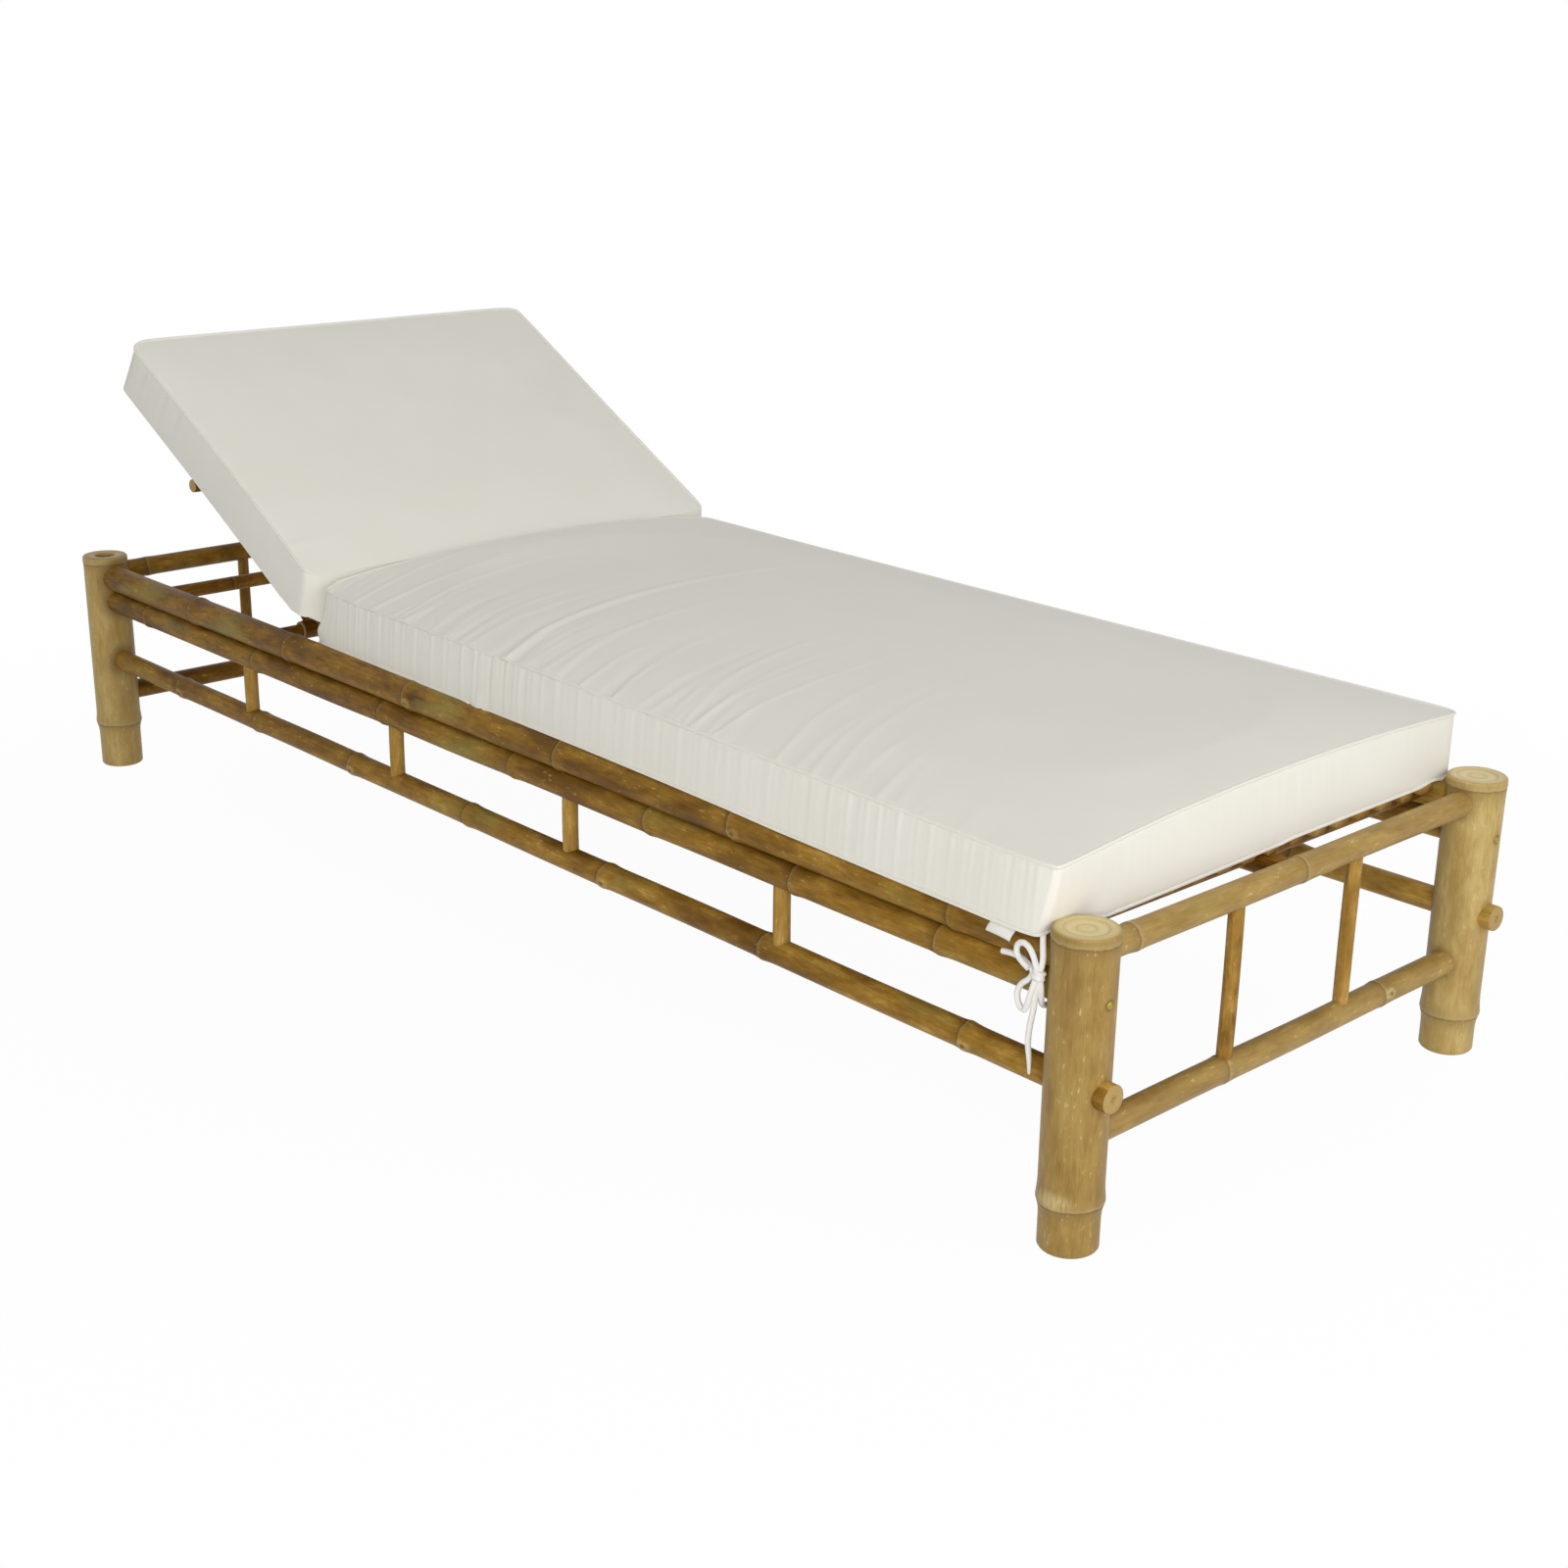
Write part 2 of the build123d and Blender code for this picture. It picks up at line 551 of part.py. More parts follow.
def frame_nodes():
    """Everything that stands on the floor."""
    nodes = {}
    for end_name, end in ENDS.items():
        for side_name, side in SIDES.items():
            open_top = end_name == "head" and side_name == "near"
            nodes[f"post_{end_name}_{side_name}"] = post(end, side, open_top)
            nodes[f"{end_name}_spindle_{side_name}"] = end_spindle(end, side)
        nodes[f"{end_name}_top_rail"] = end_rail(end, TOP_RAIL_Z, TOP_RAIL_R, 96.0)
        nodes[f"{end_name}_low_rail"] = end_rail(end, LOW_RAIL_Z, LOW_RAIL_R, 172.0)
    nodes["foot_top_rail"] -= centre_pole(JOINT_GAP)
    rear_pole = across(REAR_POLE_X, REAR_POLE_Z, REAR_POLE_R)
    nodes["seat_rear_pole"] = rear_pole - centre_pole(JOINT_GAP)
    middle = centre_pole()
    for side_name, side in SIDES.items():
        nodes[f"upper_rail_{side_name}"] = upper_rail(side)
        nodes[f"middle_rail_{side_name}"] = middle_rail(side)
        nodes[f"lower_rail_{side_name}"] = lower_rail(side)
        for index, x in enumerate(side_spindle_places(), 1):
            nodes[f"side_spindle_{side_name}_{index}"] = side_spindle(x, side)
        for index, x in enumerate(cross_pole_places(), 1):
            nodes[f"seat_cross_pole_{side_name}_{index}"] = seat_cross_pole(x, side)
            middle -= seat_cross_pole(x, side, JOINT_GAP)
    nodes["centre_pole"] = middle
    nodes["hinge_pole"] = across(HINGE_X, HINGE_Z, HINGE_POLE_R)
    nodes["prop_pivot_pole"] = across(PIVOT_X, PIVOT_Z, PIVOT_POLE_R)
    nodes["head_cross_pole"] = across(HEAD_POLE_X, HEAD_POLE_Z, HEAD_POLE_R)
    foot = LAST_CROSS_X + SLAT_OVERHANG
    nodes["seat_slats"] = slats(HINGE_X + BACK_SLAT_START + 9.0, foot, SEAT_SLATS)
    nodes["post_screws"] = [post_screw(end, side) for end in ENDS.values() for side in SIDES.values()]
    nodes["seat_cushion"] = cushion(
        (SEAT_CUSHION_REAR, SEAT_CUSHION_REAR_Y, SEAT_CUSHION_REAR_WIDTH),
        (SEAT_CUSHION_FOOT, SEAT_CUSHION_Y, SEAT_CUSHION_WIDTH), SEAT_CROWN)
    nodes["tie_cord_tail"] = cord("tie_cord_tail", TIE_TAIL)
    nodes["tie_cord_wrap"] = cord("tie_cord_wrap", TIE_WRAP)
    nodes["tie_cord_loop"] = cord("tie_cord_loop", TIE_LOOP)
    nodes["tie_knot"] = tie_knot()
    return nodes


def backrest_nodes():
    """Backrest as it lies flat."""
    nodes = {}
    tube_half = RAIL_INNER_Y - HINGE_TUBE_END
    nodes["hinge_tube"] = tube(HINGE_TUBE_R, HINGE_POLE_R + RUNNING_GAP, HINGE_X, HINGE_Z, tube_half)
    for side_name, side in SIDES.items():
        nodes[f"back_stile_{side_name}"] = back_stile(side)
        nodes[f"notch_block_{side_name}"] = notch_block(side)
    for index, along in enumerate(back_pole_places(), 1):
        nodes[f"back_cross_pole_{index}"] = back_cross_pole(along)
    nodes["back_slats"] = slats(HINGE_X - BACK_LENGTH, HINGE_X - BACK_SLAT_START, BACK_SLATS)
    nodes["back_cushion"] = back_cushion()
    return nodes


def prop_nodes():
    """Prop as it stands with the backrest at rest."""
    x, z = bar_place()
    half = LEG_Y + SLEEVE_PAST_LEG
    nodes = {"prop_sleeve": tube(SLEEVE_R, PIVOT_POLE_R + RUNNING_GAP, PIVOT_X, PIVOT_Z, half)}
    for side_name, side in SIDES.items():
        nodes[f"prop_leg_{side_name}"] = prop_leg(side)
    nodes["prop_top_bar"] = across(x, z, BAR_R, BAR_HALF)
    return nodes


def placed(shape, place):
    """A piece, or a group of pieces, moved to its place."""
    if isinstance(shape, list):
        return [place * piece for piece in shape]
    return place * shape


parts = frame_nodes()
for node, shape in backrest_nodes().items():
    parts[node] = placed(shape, lifted(REST_ANGLE))
parts.update(prop_nodes())

os.makedirs("parts", exist_ok=True)
for node, shape in parts.items():
    solid = Compound(children=shape) if isinstance(shape, list) else shape
    export_step(solid, f"parts/{node}.step")
print("nodes", len(parts))
print("prop turns", round(prop_ratio(), 4), "times as far as the backrest")
print("top bar at rest", [round(value, 2) for value in bar_place()])
print("prop pivot height", round(PIVOT_Z, 2))
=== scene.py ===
"""Bamboo sun lounger: varnished culms, split-bamboo slats and two white box cushions."""
import math
import bpy
import numpy as np
from mathutils import Matrix, Vector


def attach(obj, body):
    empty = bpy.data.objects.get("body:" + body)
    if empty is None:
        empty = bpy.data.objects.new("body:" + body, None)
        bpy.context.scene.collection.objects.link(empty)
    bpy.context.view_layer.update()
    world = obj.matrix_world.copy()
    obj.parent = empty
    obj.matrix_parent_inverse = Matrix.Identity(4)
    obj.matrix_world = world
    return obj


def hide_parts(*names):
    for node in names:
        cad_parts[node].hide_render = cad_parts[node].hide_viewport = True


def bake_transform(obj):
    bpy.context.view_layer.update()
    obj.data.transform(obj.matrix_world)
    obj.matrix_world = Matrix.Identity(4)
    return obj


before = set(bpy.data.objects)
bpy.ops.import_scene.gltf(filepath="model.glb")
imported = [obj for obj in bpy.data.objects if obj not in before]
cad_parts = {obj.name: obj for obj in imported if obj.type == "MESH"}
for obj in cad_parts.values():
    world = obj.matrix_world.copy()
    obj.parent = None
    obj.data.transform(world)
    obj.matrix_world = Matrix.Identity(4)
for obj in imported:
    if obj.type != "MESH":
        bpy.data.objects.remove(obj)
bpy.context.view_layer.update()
scene = bpy.context.scene
scene.view_settings.view_transform = "Standard"
MM = 0.001

# Places and sizes in millimetres, as in the part's source.
POST_X, POST_Y, POST_HEIGHT = 970.0, 336.0, 331.0
POST_R, POST_FOOT_R, POST_BORE_R = 32.5, 30.5, 21.0
RAIL_END = 955.0  # rails stop inside the posts
POLE_END = 328.0  # cross poles stop inside the upper rails
UPPER = (299.5, 19.0)  # height and radius of each long rail
MIDDLE = (263.0, 16.5)
LOWER = (171.0, 14.6)
TENON_END = 1015.0
TOP_RAIL = (303.0, 14.2)
LOW_RAIL = (112.0, 14.5)
END_RAIL_END = 321.0
SPINDLE_X = (-546.0, -178.0, 190.0, 558.0)
SPINDLE_Z = (176.6, 255.5)
SPINDLE_R = 9.6
END_SPINDLE_Y, END_SPINDLE_R = 103.0, 8.5
END_SPINDLE_Z = (117.5, 297.8)
SEAT_POLE_X, SEAT_POLE_R = (907.5, 497.5, 87.5), 9.5
CENTRE_X, CENTRE_R = (-324, 958), 13.0
DECK = 319.4  # top of the slats
SLAT_THICK, SLAT_TOP, SLAT_BOTTOM, SLAT_PITCH = 9.0, 26.0, 19.0, 41.0
SLAT_Z = DECK - SLAT_THICK
HINGE = (-375.0, 300.0)
PIVOT = (-560.0, 280.7)
BAR = (-723.52, 472.35)
TUBE_R, TUBE_BORE_R = 13.0, 9.05
BACK_LENGTH, STILE_Y, BACK_POLE_R, BACK_POLE_END = 556.0, 285.0, 7.5, 277.0
BACK_POLES = (120.0, 262.0, 404.0, 546.0)
LEG_Y, BAR_END = 225.0, 312
SEAT_SLATS = (-352.0, 937.5, 15)  # start, end and count of each row
BACK_SLATS = (HINGE[0] - BACK_LENGTH, HINGE[0] - 14.0, 13)
REST_ANGLE = 30.0
SIDES = {"near": -1, "far": 1}
ENDS = {"foot": 1, "head": -1}

# Node rings along the rails, from the middle.
UPPER_NODES = (-685, -424, -134, 180, 489, 812)
MIDDLE_NODES = (-830, -514, -196, 88, 344, 584, 794)
LOWER_NODES = (-744, -525, -280, -15, 257, 533, 828)
BUDS = {"upper": (2, 4), "middle": (), "lower": (0, 2, 4, 6)}  # nodes of each rail with a bud
POST_NODES = {"post_foot_near": 50.0, "post_foot_far": 45.0, "post_head_near": 66.0, "post_head_far": 55.0}
RIM_NODE = 320.0
BUD_FACING = 2.9  # buds' place round a rail, on the near side
FAR_FROM_NODE = 60.0
BRANCH_SCAR = (0.12, 60.0)  # its place round the post and its height
POST_TINTS = {"post_foot_near": 0.34, "post_foot_far": 0.82, "post_head_near": 0.78, "post_head_far": 0.6}
END_RAIL_TINTS = {"foot": 0.42, "head": 0.35}
END_RAIL_LOOKS = {"foot": "post_bamboo", "head": None}
RAIL_TINTS = {"upper": 0.40, "middle": 0.46, "lower": 0.60}
CUT_TINT = 0.4

# Bend, seat and filling of the cushions
ON_DECK = DECK + 0.4  # undersides
PAST_SLATS = 938.5  # the seat cushion hangs down from here
MOST_SWELL = 0.009  # of a filled cover, in metres


def linear(code):
    """Linear colour of an sRGB hex code."""
    parts = np.array([int(code[i:i + 2], 16) for i in (1, 3, 5)]) / 255.0
    return (*np.where(parts <= 0.04045, parts / 12.92, ((parts + 0.055) / 1.055) ** 2.4), 1.0)


def unit(vector):
    """Vector divided by its length."""
    vector = np.asarray(vector, float)
    return vector / np.linalg.norm(vector, axis=-1, keepdims=True)


def ramp(value, start, end):
    """0 at the start, 1 at the end, straight between them and level beyond."""
    return np.clip((value - start) / (end - start), 0, 1)


def bell(value, middle, width):
    """exp(-((value - middle) / width)^2)."""
    return np.exp(-((value - middle) / width) ** 2)


def arch(value, middle, half):
    """1 - ((value - middle) / half)^2, and 0 where that is less."""
    return np.clip(1 - ((value - middle) / half) ** 2, 0, 1)


def angles(count):
    """Even steps round a circle."""
    return np.arange(count) * 2 * np.pi / count


def round_from(turn, angle):
    """Angle between two places on a circle, from -pi to pi."""
    return np.angle(np.exp(1j * (turn - angle)))


def phase(rng, size=None):
    """Random start of a wave."""
    return rng.uniform(0, 6.28, size)


def configured(item, **settings):
    """Gives an item its settings."""
    for key, value in settings.items():
        setattr(item, key, value)
    return item


def placed(name, data):
    """New object in the scene, at the origin."""
    thing = bpy.data.objects.new(name, data)
    scene.collection.objects.link(thing)
    return thing


def mesh_object(name, points, faces, uv=None, values=None):
    """Object from points in millimetres, arrays of faces, a UV pair per face corner and values per point."""
    mesh = bpy.data.meshes.new(name)
    corners = [tuple(face) for block in faces for face in np.asarray(block).tolist()]
    mesh.from_pydata((np.reshape(points, (-1, 3)) * MM).tolist(), [], corners)
    if uv is not None:
        layer = mesh.uv_layers.new(name="Surface")
        layer.data.foreach_set("uv", np.asarray(uv, np.float32).ravel())
    for key, data in (values or {}).items():
        attribute = mesh.attributes.new(key, "FLOAT", "POINT")
        attribute.data.foreach_set("value", np.asarray(data, np.float32).ravel())
    mesh.shade_smooth()
    mesh.update()
    return placed(name, mesh)


def finish_piece(thing, body, slot, *nodes, look=None):
    """Gives a piece the material of its slot, hides the CAD nodes that it stands for, and hangs it on the
    body that it rides on.

    A piece without a body has its place baked into its points.
    """
    thing.data.materials.append(MATERIALS[look or slot])
    if nodes:
        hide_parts(*nodes)
    if body:
        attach(thing, body)
    else:
        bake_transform(thing)
    return thing


def grid_faces(rows, columns, closed=(0, 1)):
    """Quads of a grid of points, and their corners' places (row, column). Each way is open or closed."""
    row, column = (part.ravel() for part in np.mgrid[:rows - 1 + closed[0], :columns - 1 + closed[1]])
    places = [row, column, row, column + 1, row + 1, column + 1, row + 1, column]
    places = np.stack(places, 1).reshape(-1, 4, 2)
    return places[..., 0] % rows * columns + places[..., 1] % columns, places


def tube_faces(rings, around):
    """Faces of a tube of rings: its quads and its two ends."""
    step = np.arange(around)[None]
    return [grid_faces(rings, around)[0], step[:, ::-1], step + (rings - 1) * around]


def unrolled(places, around, girth, along, shift):
    """UV pairs in metres of a tube's quads: the way round it and the way along it, both shifted."""
    turn, way = places[..., 1] / around * girth, along[places[..., 0]]
    return np.stack([turn + shift[0], way + shift[1]], -1).reshape(-1, 2)


def profile(around, *parts):
    """Parts of a profile one after another. Each is given for its rings, or also for each step round them."""
    parts = [np.asarray(part, float).reshape(len(part), -1) for part in parts]
    return np.concatenate([np.broadcast_to(part, (len(part), around)) for part in parts])


def turned(name, origin, axis, radius, along, values, around, seed, wave, bow=0.0):
    """Closed turned surface: at each profile ring a circle of its radius, at its distance along the axis.

    Point = origin + axis * along + bow + (e1 cos a + e2 sin a) * (radius + wave * w), where w is a sum of
    three slow waves of angle and length, and e1, e2 are square to the axis. Radius and values are given for
    each ring, or also for each step round it. Both ends close in one point.
    """
    rng = np.random.default_rng(seed)
    axis = unit(axis)
    helper = (0.0, 0.0, 1.0) if abs(axis[2]) < 0.9 else (1.0, 0.0, 0.0)
    e1 = unit(np.cross(helper, axis))
    e2 = np.cross(axis, e1)
    rings = len(along)
    radius = profile(around, radius)
    turn, way = np.meshgrid(angles(around), along)
    waves = sum(np.cos(k * turn + phase(rng)) * np.cos(way / rng.uniform(40, 130) + phase(rng))
                for k in (1, 2, 3))
    swell = radius + wave * waves * (radius / radius.max()) ** 2 / 1.7
    points = (np.asarray(origin, float) + axis * way[..., None] + np.broadcast_to(bow, (rings, 3))[:, None, :]
              + swell[..., None] * (e1 * np.cos(turn)[..., None] + e2 * np.sin(turn)[..., None]))
    quads, places = grid_faces(rings, around)
    count = rings * around
    step = np.arange(around)
    after = (step + 1) % around
    first = np.stack([np.full(around, count), after, step], 1)
    last = np.stack([np.full(around, count + 1), count - around + step, count - around + after], 1)
    ends = np.stack([points[0].mean(0), points[-1].mean(0)])
    shift = rng.uniform(0, 40, 2)
    middle = radius.mean(1)
    path = np.concatenate([[0], np.cumsum(np.hypot(np.diff(along), np.diff(middle)))]) * MM
    girth = 2 * np.pi * middle.max() * MM
    fan = np.stack([step, step, step + 1], 1).ravel() / around * girth + shift[0]
    uv = [np.stack([fan, np.full(len(fan), shift[1] + end)], 1) for end in (0, path[-1])]
    data = {}
    for key, value in values.items():
        value = profile(around, value)
        data[key] = np.append(value, [value[0].mean(), value[-1].mean()])
    return mesh_object(name, np.concatenate([points.reshape(-1, 3), ends]), [quads, first, last],
                       np.concatenate([unrolled(places, around, girth, path, shift), *uv]), data)


def stations(length, nodes, step=11.0):
    """Distances along a pole: even steps, with fine ones by each node and at both ends."""
    fine = np.array([-16, -11, -8, -6, -4.6, -3.6, -2.8, -2.1, -1.5, -1, -0.6, -0.2, 0.2, 0.6, 1, 1.5, 2.1,
                     2.8, 3.6, 4.6, 6, 8, 10, 12, 14, 16, 18, 21])
    places = [np.linspace(2.0, length - 2.0, max(int(length / step), 6))]
    places += [at + fine for at in nodes]
    places = np.unique(np.round(np.concatenate(places), 2))
    return places[(places >= 2.0) & (places <= length - 2.0)]


def node_gap(along, nodes, around, rng, slant=1.0):
    """Signed distance in millimetres to the nearest node, for each ring and each step round it.

    A node's ring is slanted and wavy: it runs slant * (1.3 cos(a + p) + 0.6 cos(2a + q)) from its place.
    """
    if not len(nodes):
        return np.full((len(along), around), FAR_FROM_NODE)
    turn = angles(around)
    start = phase(rng, (2, len(nodes), 1))
    wavy = 1.3 * np.cos(turn + start[0]) + 0.6 * np.cos(2 * turn + start[1])
    gaps = np.asarray(along)[:, None, None] - (np.asarray(nodes, float)[:, None] + slant * wavy)[None]
    nearest = np.abs(gaps).argmin(axis=1)[:, None, :]
    return np.clip(np.take_along_axis(gaps, nearest, 1)[:, 0, :], -FAR_FROM_NODE, FAR_FROM_NODE)


def node_swell(gap, height):
    """Swelling at a node: 0.6 h exp(-(d/5)^2) before its scar, h exp(-(d/12)^2) after it, with a groove."""
    wide = np.where(gap < 0, 0.6 * bell(gap, 0, 5.0), bell(gap, 0, 12.0))
    return height * (wide - 0.45 * bell(gap, 0, 1.2))


def node_values(gap):
    """The two attributes that carry a node's distance: how far it is, and on which side."""
    return {"node_gap": np.abs(gap), "node_side": np.sign(gap)}


def bud_field(along, around, radius, buds):
    """Buds on a culm: for each (distance, angle) a lump exp(-(s/9)^2 - (t/6)^2), s along and t round it."""
    total = np.zeros((len(along), around))
    for place, angle in buds:
        total += bell(along[:, None], place, 9.0) * bell(radius * round_from(angles(around), angle), 0, 6.0)
    return total


def zigzag(along, nodes, axis, amount, rng):
    """Bend of a culm, leaning another way in each internode: amount * sin(pi * share of the internode)."""
    edges = np.concatenate([[along[0]], np.sort(np.asarray(nodes, float)), [along[-1]]])
    bow = np.zeros((len(along), 3))
    for low, high in zip(edges[:-1], edges[1:]):
        side = unit(np.cross(unit(axis), rng.normal(size=3)))
        inside = (along >= low) & (along <= high)
        share = (along[inside] - low) / max(high - low, 1.0)
        bow[inside] = side * (amount * np.sin(np.pi * share))[:, None]
    return bow


def culm(node, body, slot, start, end, radius, nodes, tint, seed, height=1.2, pith=0.0, bend=0.5, around=40,
         wave=0.35, paler=0.0, buds=(), look=None):
    """Bamboo pole from start to end that stands for a CAD node. Its ends are cut square with a softened edge.

    Its tint changes by paler from its start to its end.
    """
    start, end = np.asarray(start, float), np.asarray(end, float)
    length = float(np.linalg.norm(end - start))
    nodes = [at for at in nodes if 10 < at < length - 10]
    wall = stations(length, nodes)
    rng = np.random.default_rng(seed)
    gap = node_gap(wall, nodes, around, rng)
    # each cut end, as radius and depth: pith hole, face, softened edge
    cap = [(0.25, 0), (radius * 0.35, 0), (radius * 0.7, 0), (radius - 1.2, 0.1), (radius - 0.4, 0.7)]
    if pith:
        cap = [(0.25, 3.5), (pith * 0.8, 3.5), (pith, 3.0), (pith * 1.06, 0.4), (radius * 0.45, 0),
               (radius * 0.75, 0), (radius - 1.4, 0.15), (radius - 0.5, 0.8)]
    cap_r, cap_s = np.array(cap).T
    face, bark = np.ones(len(cap_r)), np.zeros(len(wall))
    along = np.concatenate([cap_s, wall, length - cap_s[::-1]])
    cut = np.concatenate([face, bark, face])
    # the pith hole carries the shade attribute: painted shade down the hollow
    hole = np.where(cap_r < pith * 1.03, 1.0, 0.0)
    bud = bud_field(wall, around, radius, buds)
    far = FAR_FROM_NODE * face
    values = {"cut": cut, "tint": np.where(cut > 0, CUT_TINT, tint + paler * (along / length - 0.5)),
              "bud": profile(around, 0 * face, bud, 0 * face),
              "shade": np.concatenate([hole, bark, hole[::-1]]),
              **node_values(profile(around, far, gap, far))}
    radii = profile(around, cap_r, radius + node_swell(gap, height) + 1.8 * bud, cap_r[::-1])
    bow = zigzag(along, nodes, end - start, bend, rng) if bend else 0.0
    thing = turned(f"{node}_culm", start, end - start, radii, along, values, around, seed, wave, bow)
    finish_piece(thing, body, slot, node, look=look)


def pole_ends(x, end, z):
    """Both ends of a pole across the width, the near one first."""
    return (x, -end, z), (x, end, z)


def pole(node, body, start, end, radius, nodes, seed, tint=0.5, height=0.0, around=28, wave=0.0):
    """Straight brown pole, smooth or nearly so."""
    culm(node, body, "pole_bamboo", start, end, radius, nodes, tint, seed, height, 0.0, 0, around, wave)


# Materials

def plug(tree, node, inputs):
    """Sets a node's inputs, each to a number, a colour or another node's output."""
    for key, value in inputs.items():
        if isinstance(value, bpy.types.NodeSocket):
            tree.links.new(value, node.inputs[key])
        else:
            node.inputs[key].default_value = value


def add(tree, kind, inputs=(), out=0, stops=(), **settings):
    """Adds one node with its settings and links, and gives one of its outputs.

    Inputs are given by name or number, or as a row in the node's own order: for a map range its value, from,
    to, low and high. Stops are a colour ramp's (place, hex) pairs.
    """
    node = configured(tree.nodes.new(f"ShaderNode{kind}"), **settings)
    plug(tree, node, inputs if isinstance(inputs, dict) else dict(enumerate(inputs)))
    if stops:
        elements = node.color_ramp.elements
        elements.remove(elements[1])
        elements[0].position = stops[0][0]
        for index, (place, code) in enumerate(stops):
            element = elements.new(place) if index else elements[0]
            element.color = linear(code)
    return node.outputs[out]


def material(name):
    """New material with its node tree and shader."""
    made = configured(bpy.data.materials.new(name), use_nodes=True)
    return made, made.node_tree, made.node_tree.nodes["Principled BSDF"]


def bamboo(name, streaks, stain, bloom, scar, roughness=(0.36, 0.55), green=0.0, stained=0.7, shine=0.12,
           ragged=9.0, contrast=1.0):
    """Varnished bamboo: fibres along the length, mottles, stains, scuffs and a ragged scar at each node, with
    painted shade in the scar colour where the shade attribute is set.

    Fibre bundles are drawn 1.4 mm wide and 60 mm long, mottles 5 by 22 mm, clouds 24 by 70 mm, stains 55 by
    190 mm and scuffs 4 by 12 mm.
    """
    made, tree, shader = material(name)
    uv = add(tree, "UVMap", uv_map="Surface")
    noise = {}
    for key, across, along, detail, rough in (
            ("fibre", 1.4, 60, 3.0, 0.55), ("mottle", 5, 22, 4.0, 0.65), ("cloud", 24, 70, 5.0, 0.6),
            ("patch", 55, 190, 3.0, 0.5), ("speck", 4, 12, 3.0, 0.6), ("ragged", 8, 8, 3.0, 0.6),
            ("grain", 2.2, 2.2, 4.0, 0.7)):
        place = add(tree, "Mapping", {"Vector": uv, "Scale": (1000 / across, 1000 / along, 1)})
        noise[key] = add(tree, "TexNoise", {
            "Vector": place, "Scale": 1.0, "Detail": detail, "Roughness": rough})
    cloud, patch, mottle = noise["cloud"], noise["patch"], noise["mottle"]
    tint, gap, side, cut, bud, shade = (add(tree, "Attribute", out=2, attribute_name=key) for key in (
        "tint", "node_gap", "node_side", "cut", "bud", "shade"))
    tone = add(tree, "Math", (tint, 0.6, 0.205 - 1.225 * contrast), operation="MULTIPLY_ADD")
    for value, weight in ((cloud, 1.35), (mottle, 0.65), (noise["fibre"], 0.45)):
        tone = add(tree, "Math", (value, weight * contrast, tone), operation="MULTIPLY_ADD")
    colour = add(tree, "ValToRGB", (tone,), stops=list(zip((0.08, 0.34, 0.6, 0.92), streaks)))
    # place along the node's ring, made ragged by noise
    along = add(tree, "Math", (gap, side), operation="MULTIPLY")
    along = add(tree, "Math", (noise["ragged"], ragged, along), operation="MULTIPLY_ADD")
    along = add(tree, "MapRange", (along, ragged / 2 - 20, ragged / 2 + 20))
    smoke = add(tree, "MapRange", (gap, 38.0, 2.0, 0.0, 1.3))
    smoke = add(tree, "Math", (smoke, cloud), operation="MULTIPLY")
    # share of each kind of mark: none at the first value, and most of it at the second
    marks = {key: add(tree, "MapRange", (value, none, full, 0.0, most)) for key, value, none, full, most in (
        ("near", gap, 26.0, 16.0, 1.0), ("smoke", smoke, 0.4, 0.85, 0.6), ("dark", shade, 0.0, 1.0, 0.85),
        ("clustered", cloud, 0.46, 0.58, 0.55), ("scuffed", noise["speck"], 0.60, 0.66, 1.0),
        ("worn", mottle, 0.30, 0.56, 0.9), ("bare", bud, 0.15, 0.6, 0.65), ("eye", bud, 0.78, 0.95, 0.7),
        ("stained", patch, 0.50, 0.66, stained), ("green", patch, 0.44, 0.30, green))}
    for key, places, greys in (("pale", (0.0, 0.50, 0.55, 0.64, 0.85), ("00", "00", "8a", "4a", "00")),
                               ("dirty", (0.2, 0.44, 0.48, 0.51, 0.54), ("00", "48", "a4", "a4", "00"))):
        stops = [(at, f"#{grey * 3}") for at, grey in zip(places, greys)]
        marks[key] = add(tree, "ValToRGB", (along,), stops=stops)
    # the dark mark is painted shade from the shade attribute, drawn in the scar colour
    for key, also, code in (
            ("stained", None, stain), ("green", None, "#8b8a4b"), ("smoke", None, stain),
            ("scuffed", "clustered", bloom), ("pale", "near", bloom), ("dirty", "near", scar),
            ("bare", "worn", bloom), ("eye", None, scar), ("dark", None, scar)):
        share = marks[key]
        if also:
            share = add(tree, "Math", (share, marks[also]), operation="MULTIPLY")
        colour = add(tree, "Mix", {0: share, 6: colour, 7: linear(code)}, 2, data_type="RGBA")
    # cut ends show the pale wood inside
    inside = add(tree, "Math", (tint, 0.65, -0.07), operation="MULTIPLY_ADD")
    inside = add(tree, "Math", (noise["grain"], 0.5, inside), operation="MULTIPLY_ADD")
    inside = add(tree, "ValToRGB", (inside,), stops=((0.15, "#6b4f24"), (0.45, "#b2955a"), (0.8, "#dccb98")))
    colour = add(tree, "Mix", {0: cut, 6: colour, 7: inside}, 2, data_type="RGBA")
    relief = add(tree, "Math", (mottle, 0.8, noise["fibre"]), operation="MULTIPLY_ADD")
    plug(tree, shader, {
        "Base Color": colour, "Roughness": add(tree, "MapRange", (cloud, 0.3, 0.7, *roughness)),
        "Normal": add(tree, "Bump", {"Height": relief, "Strength": 0.25, "Distance": 0.0008}),
        "Specular IOR Level": shine})
    return made


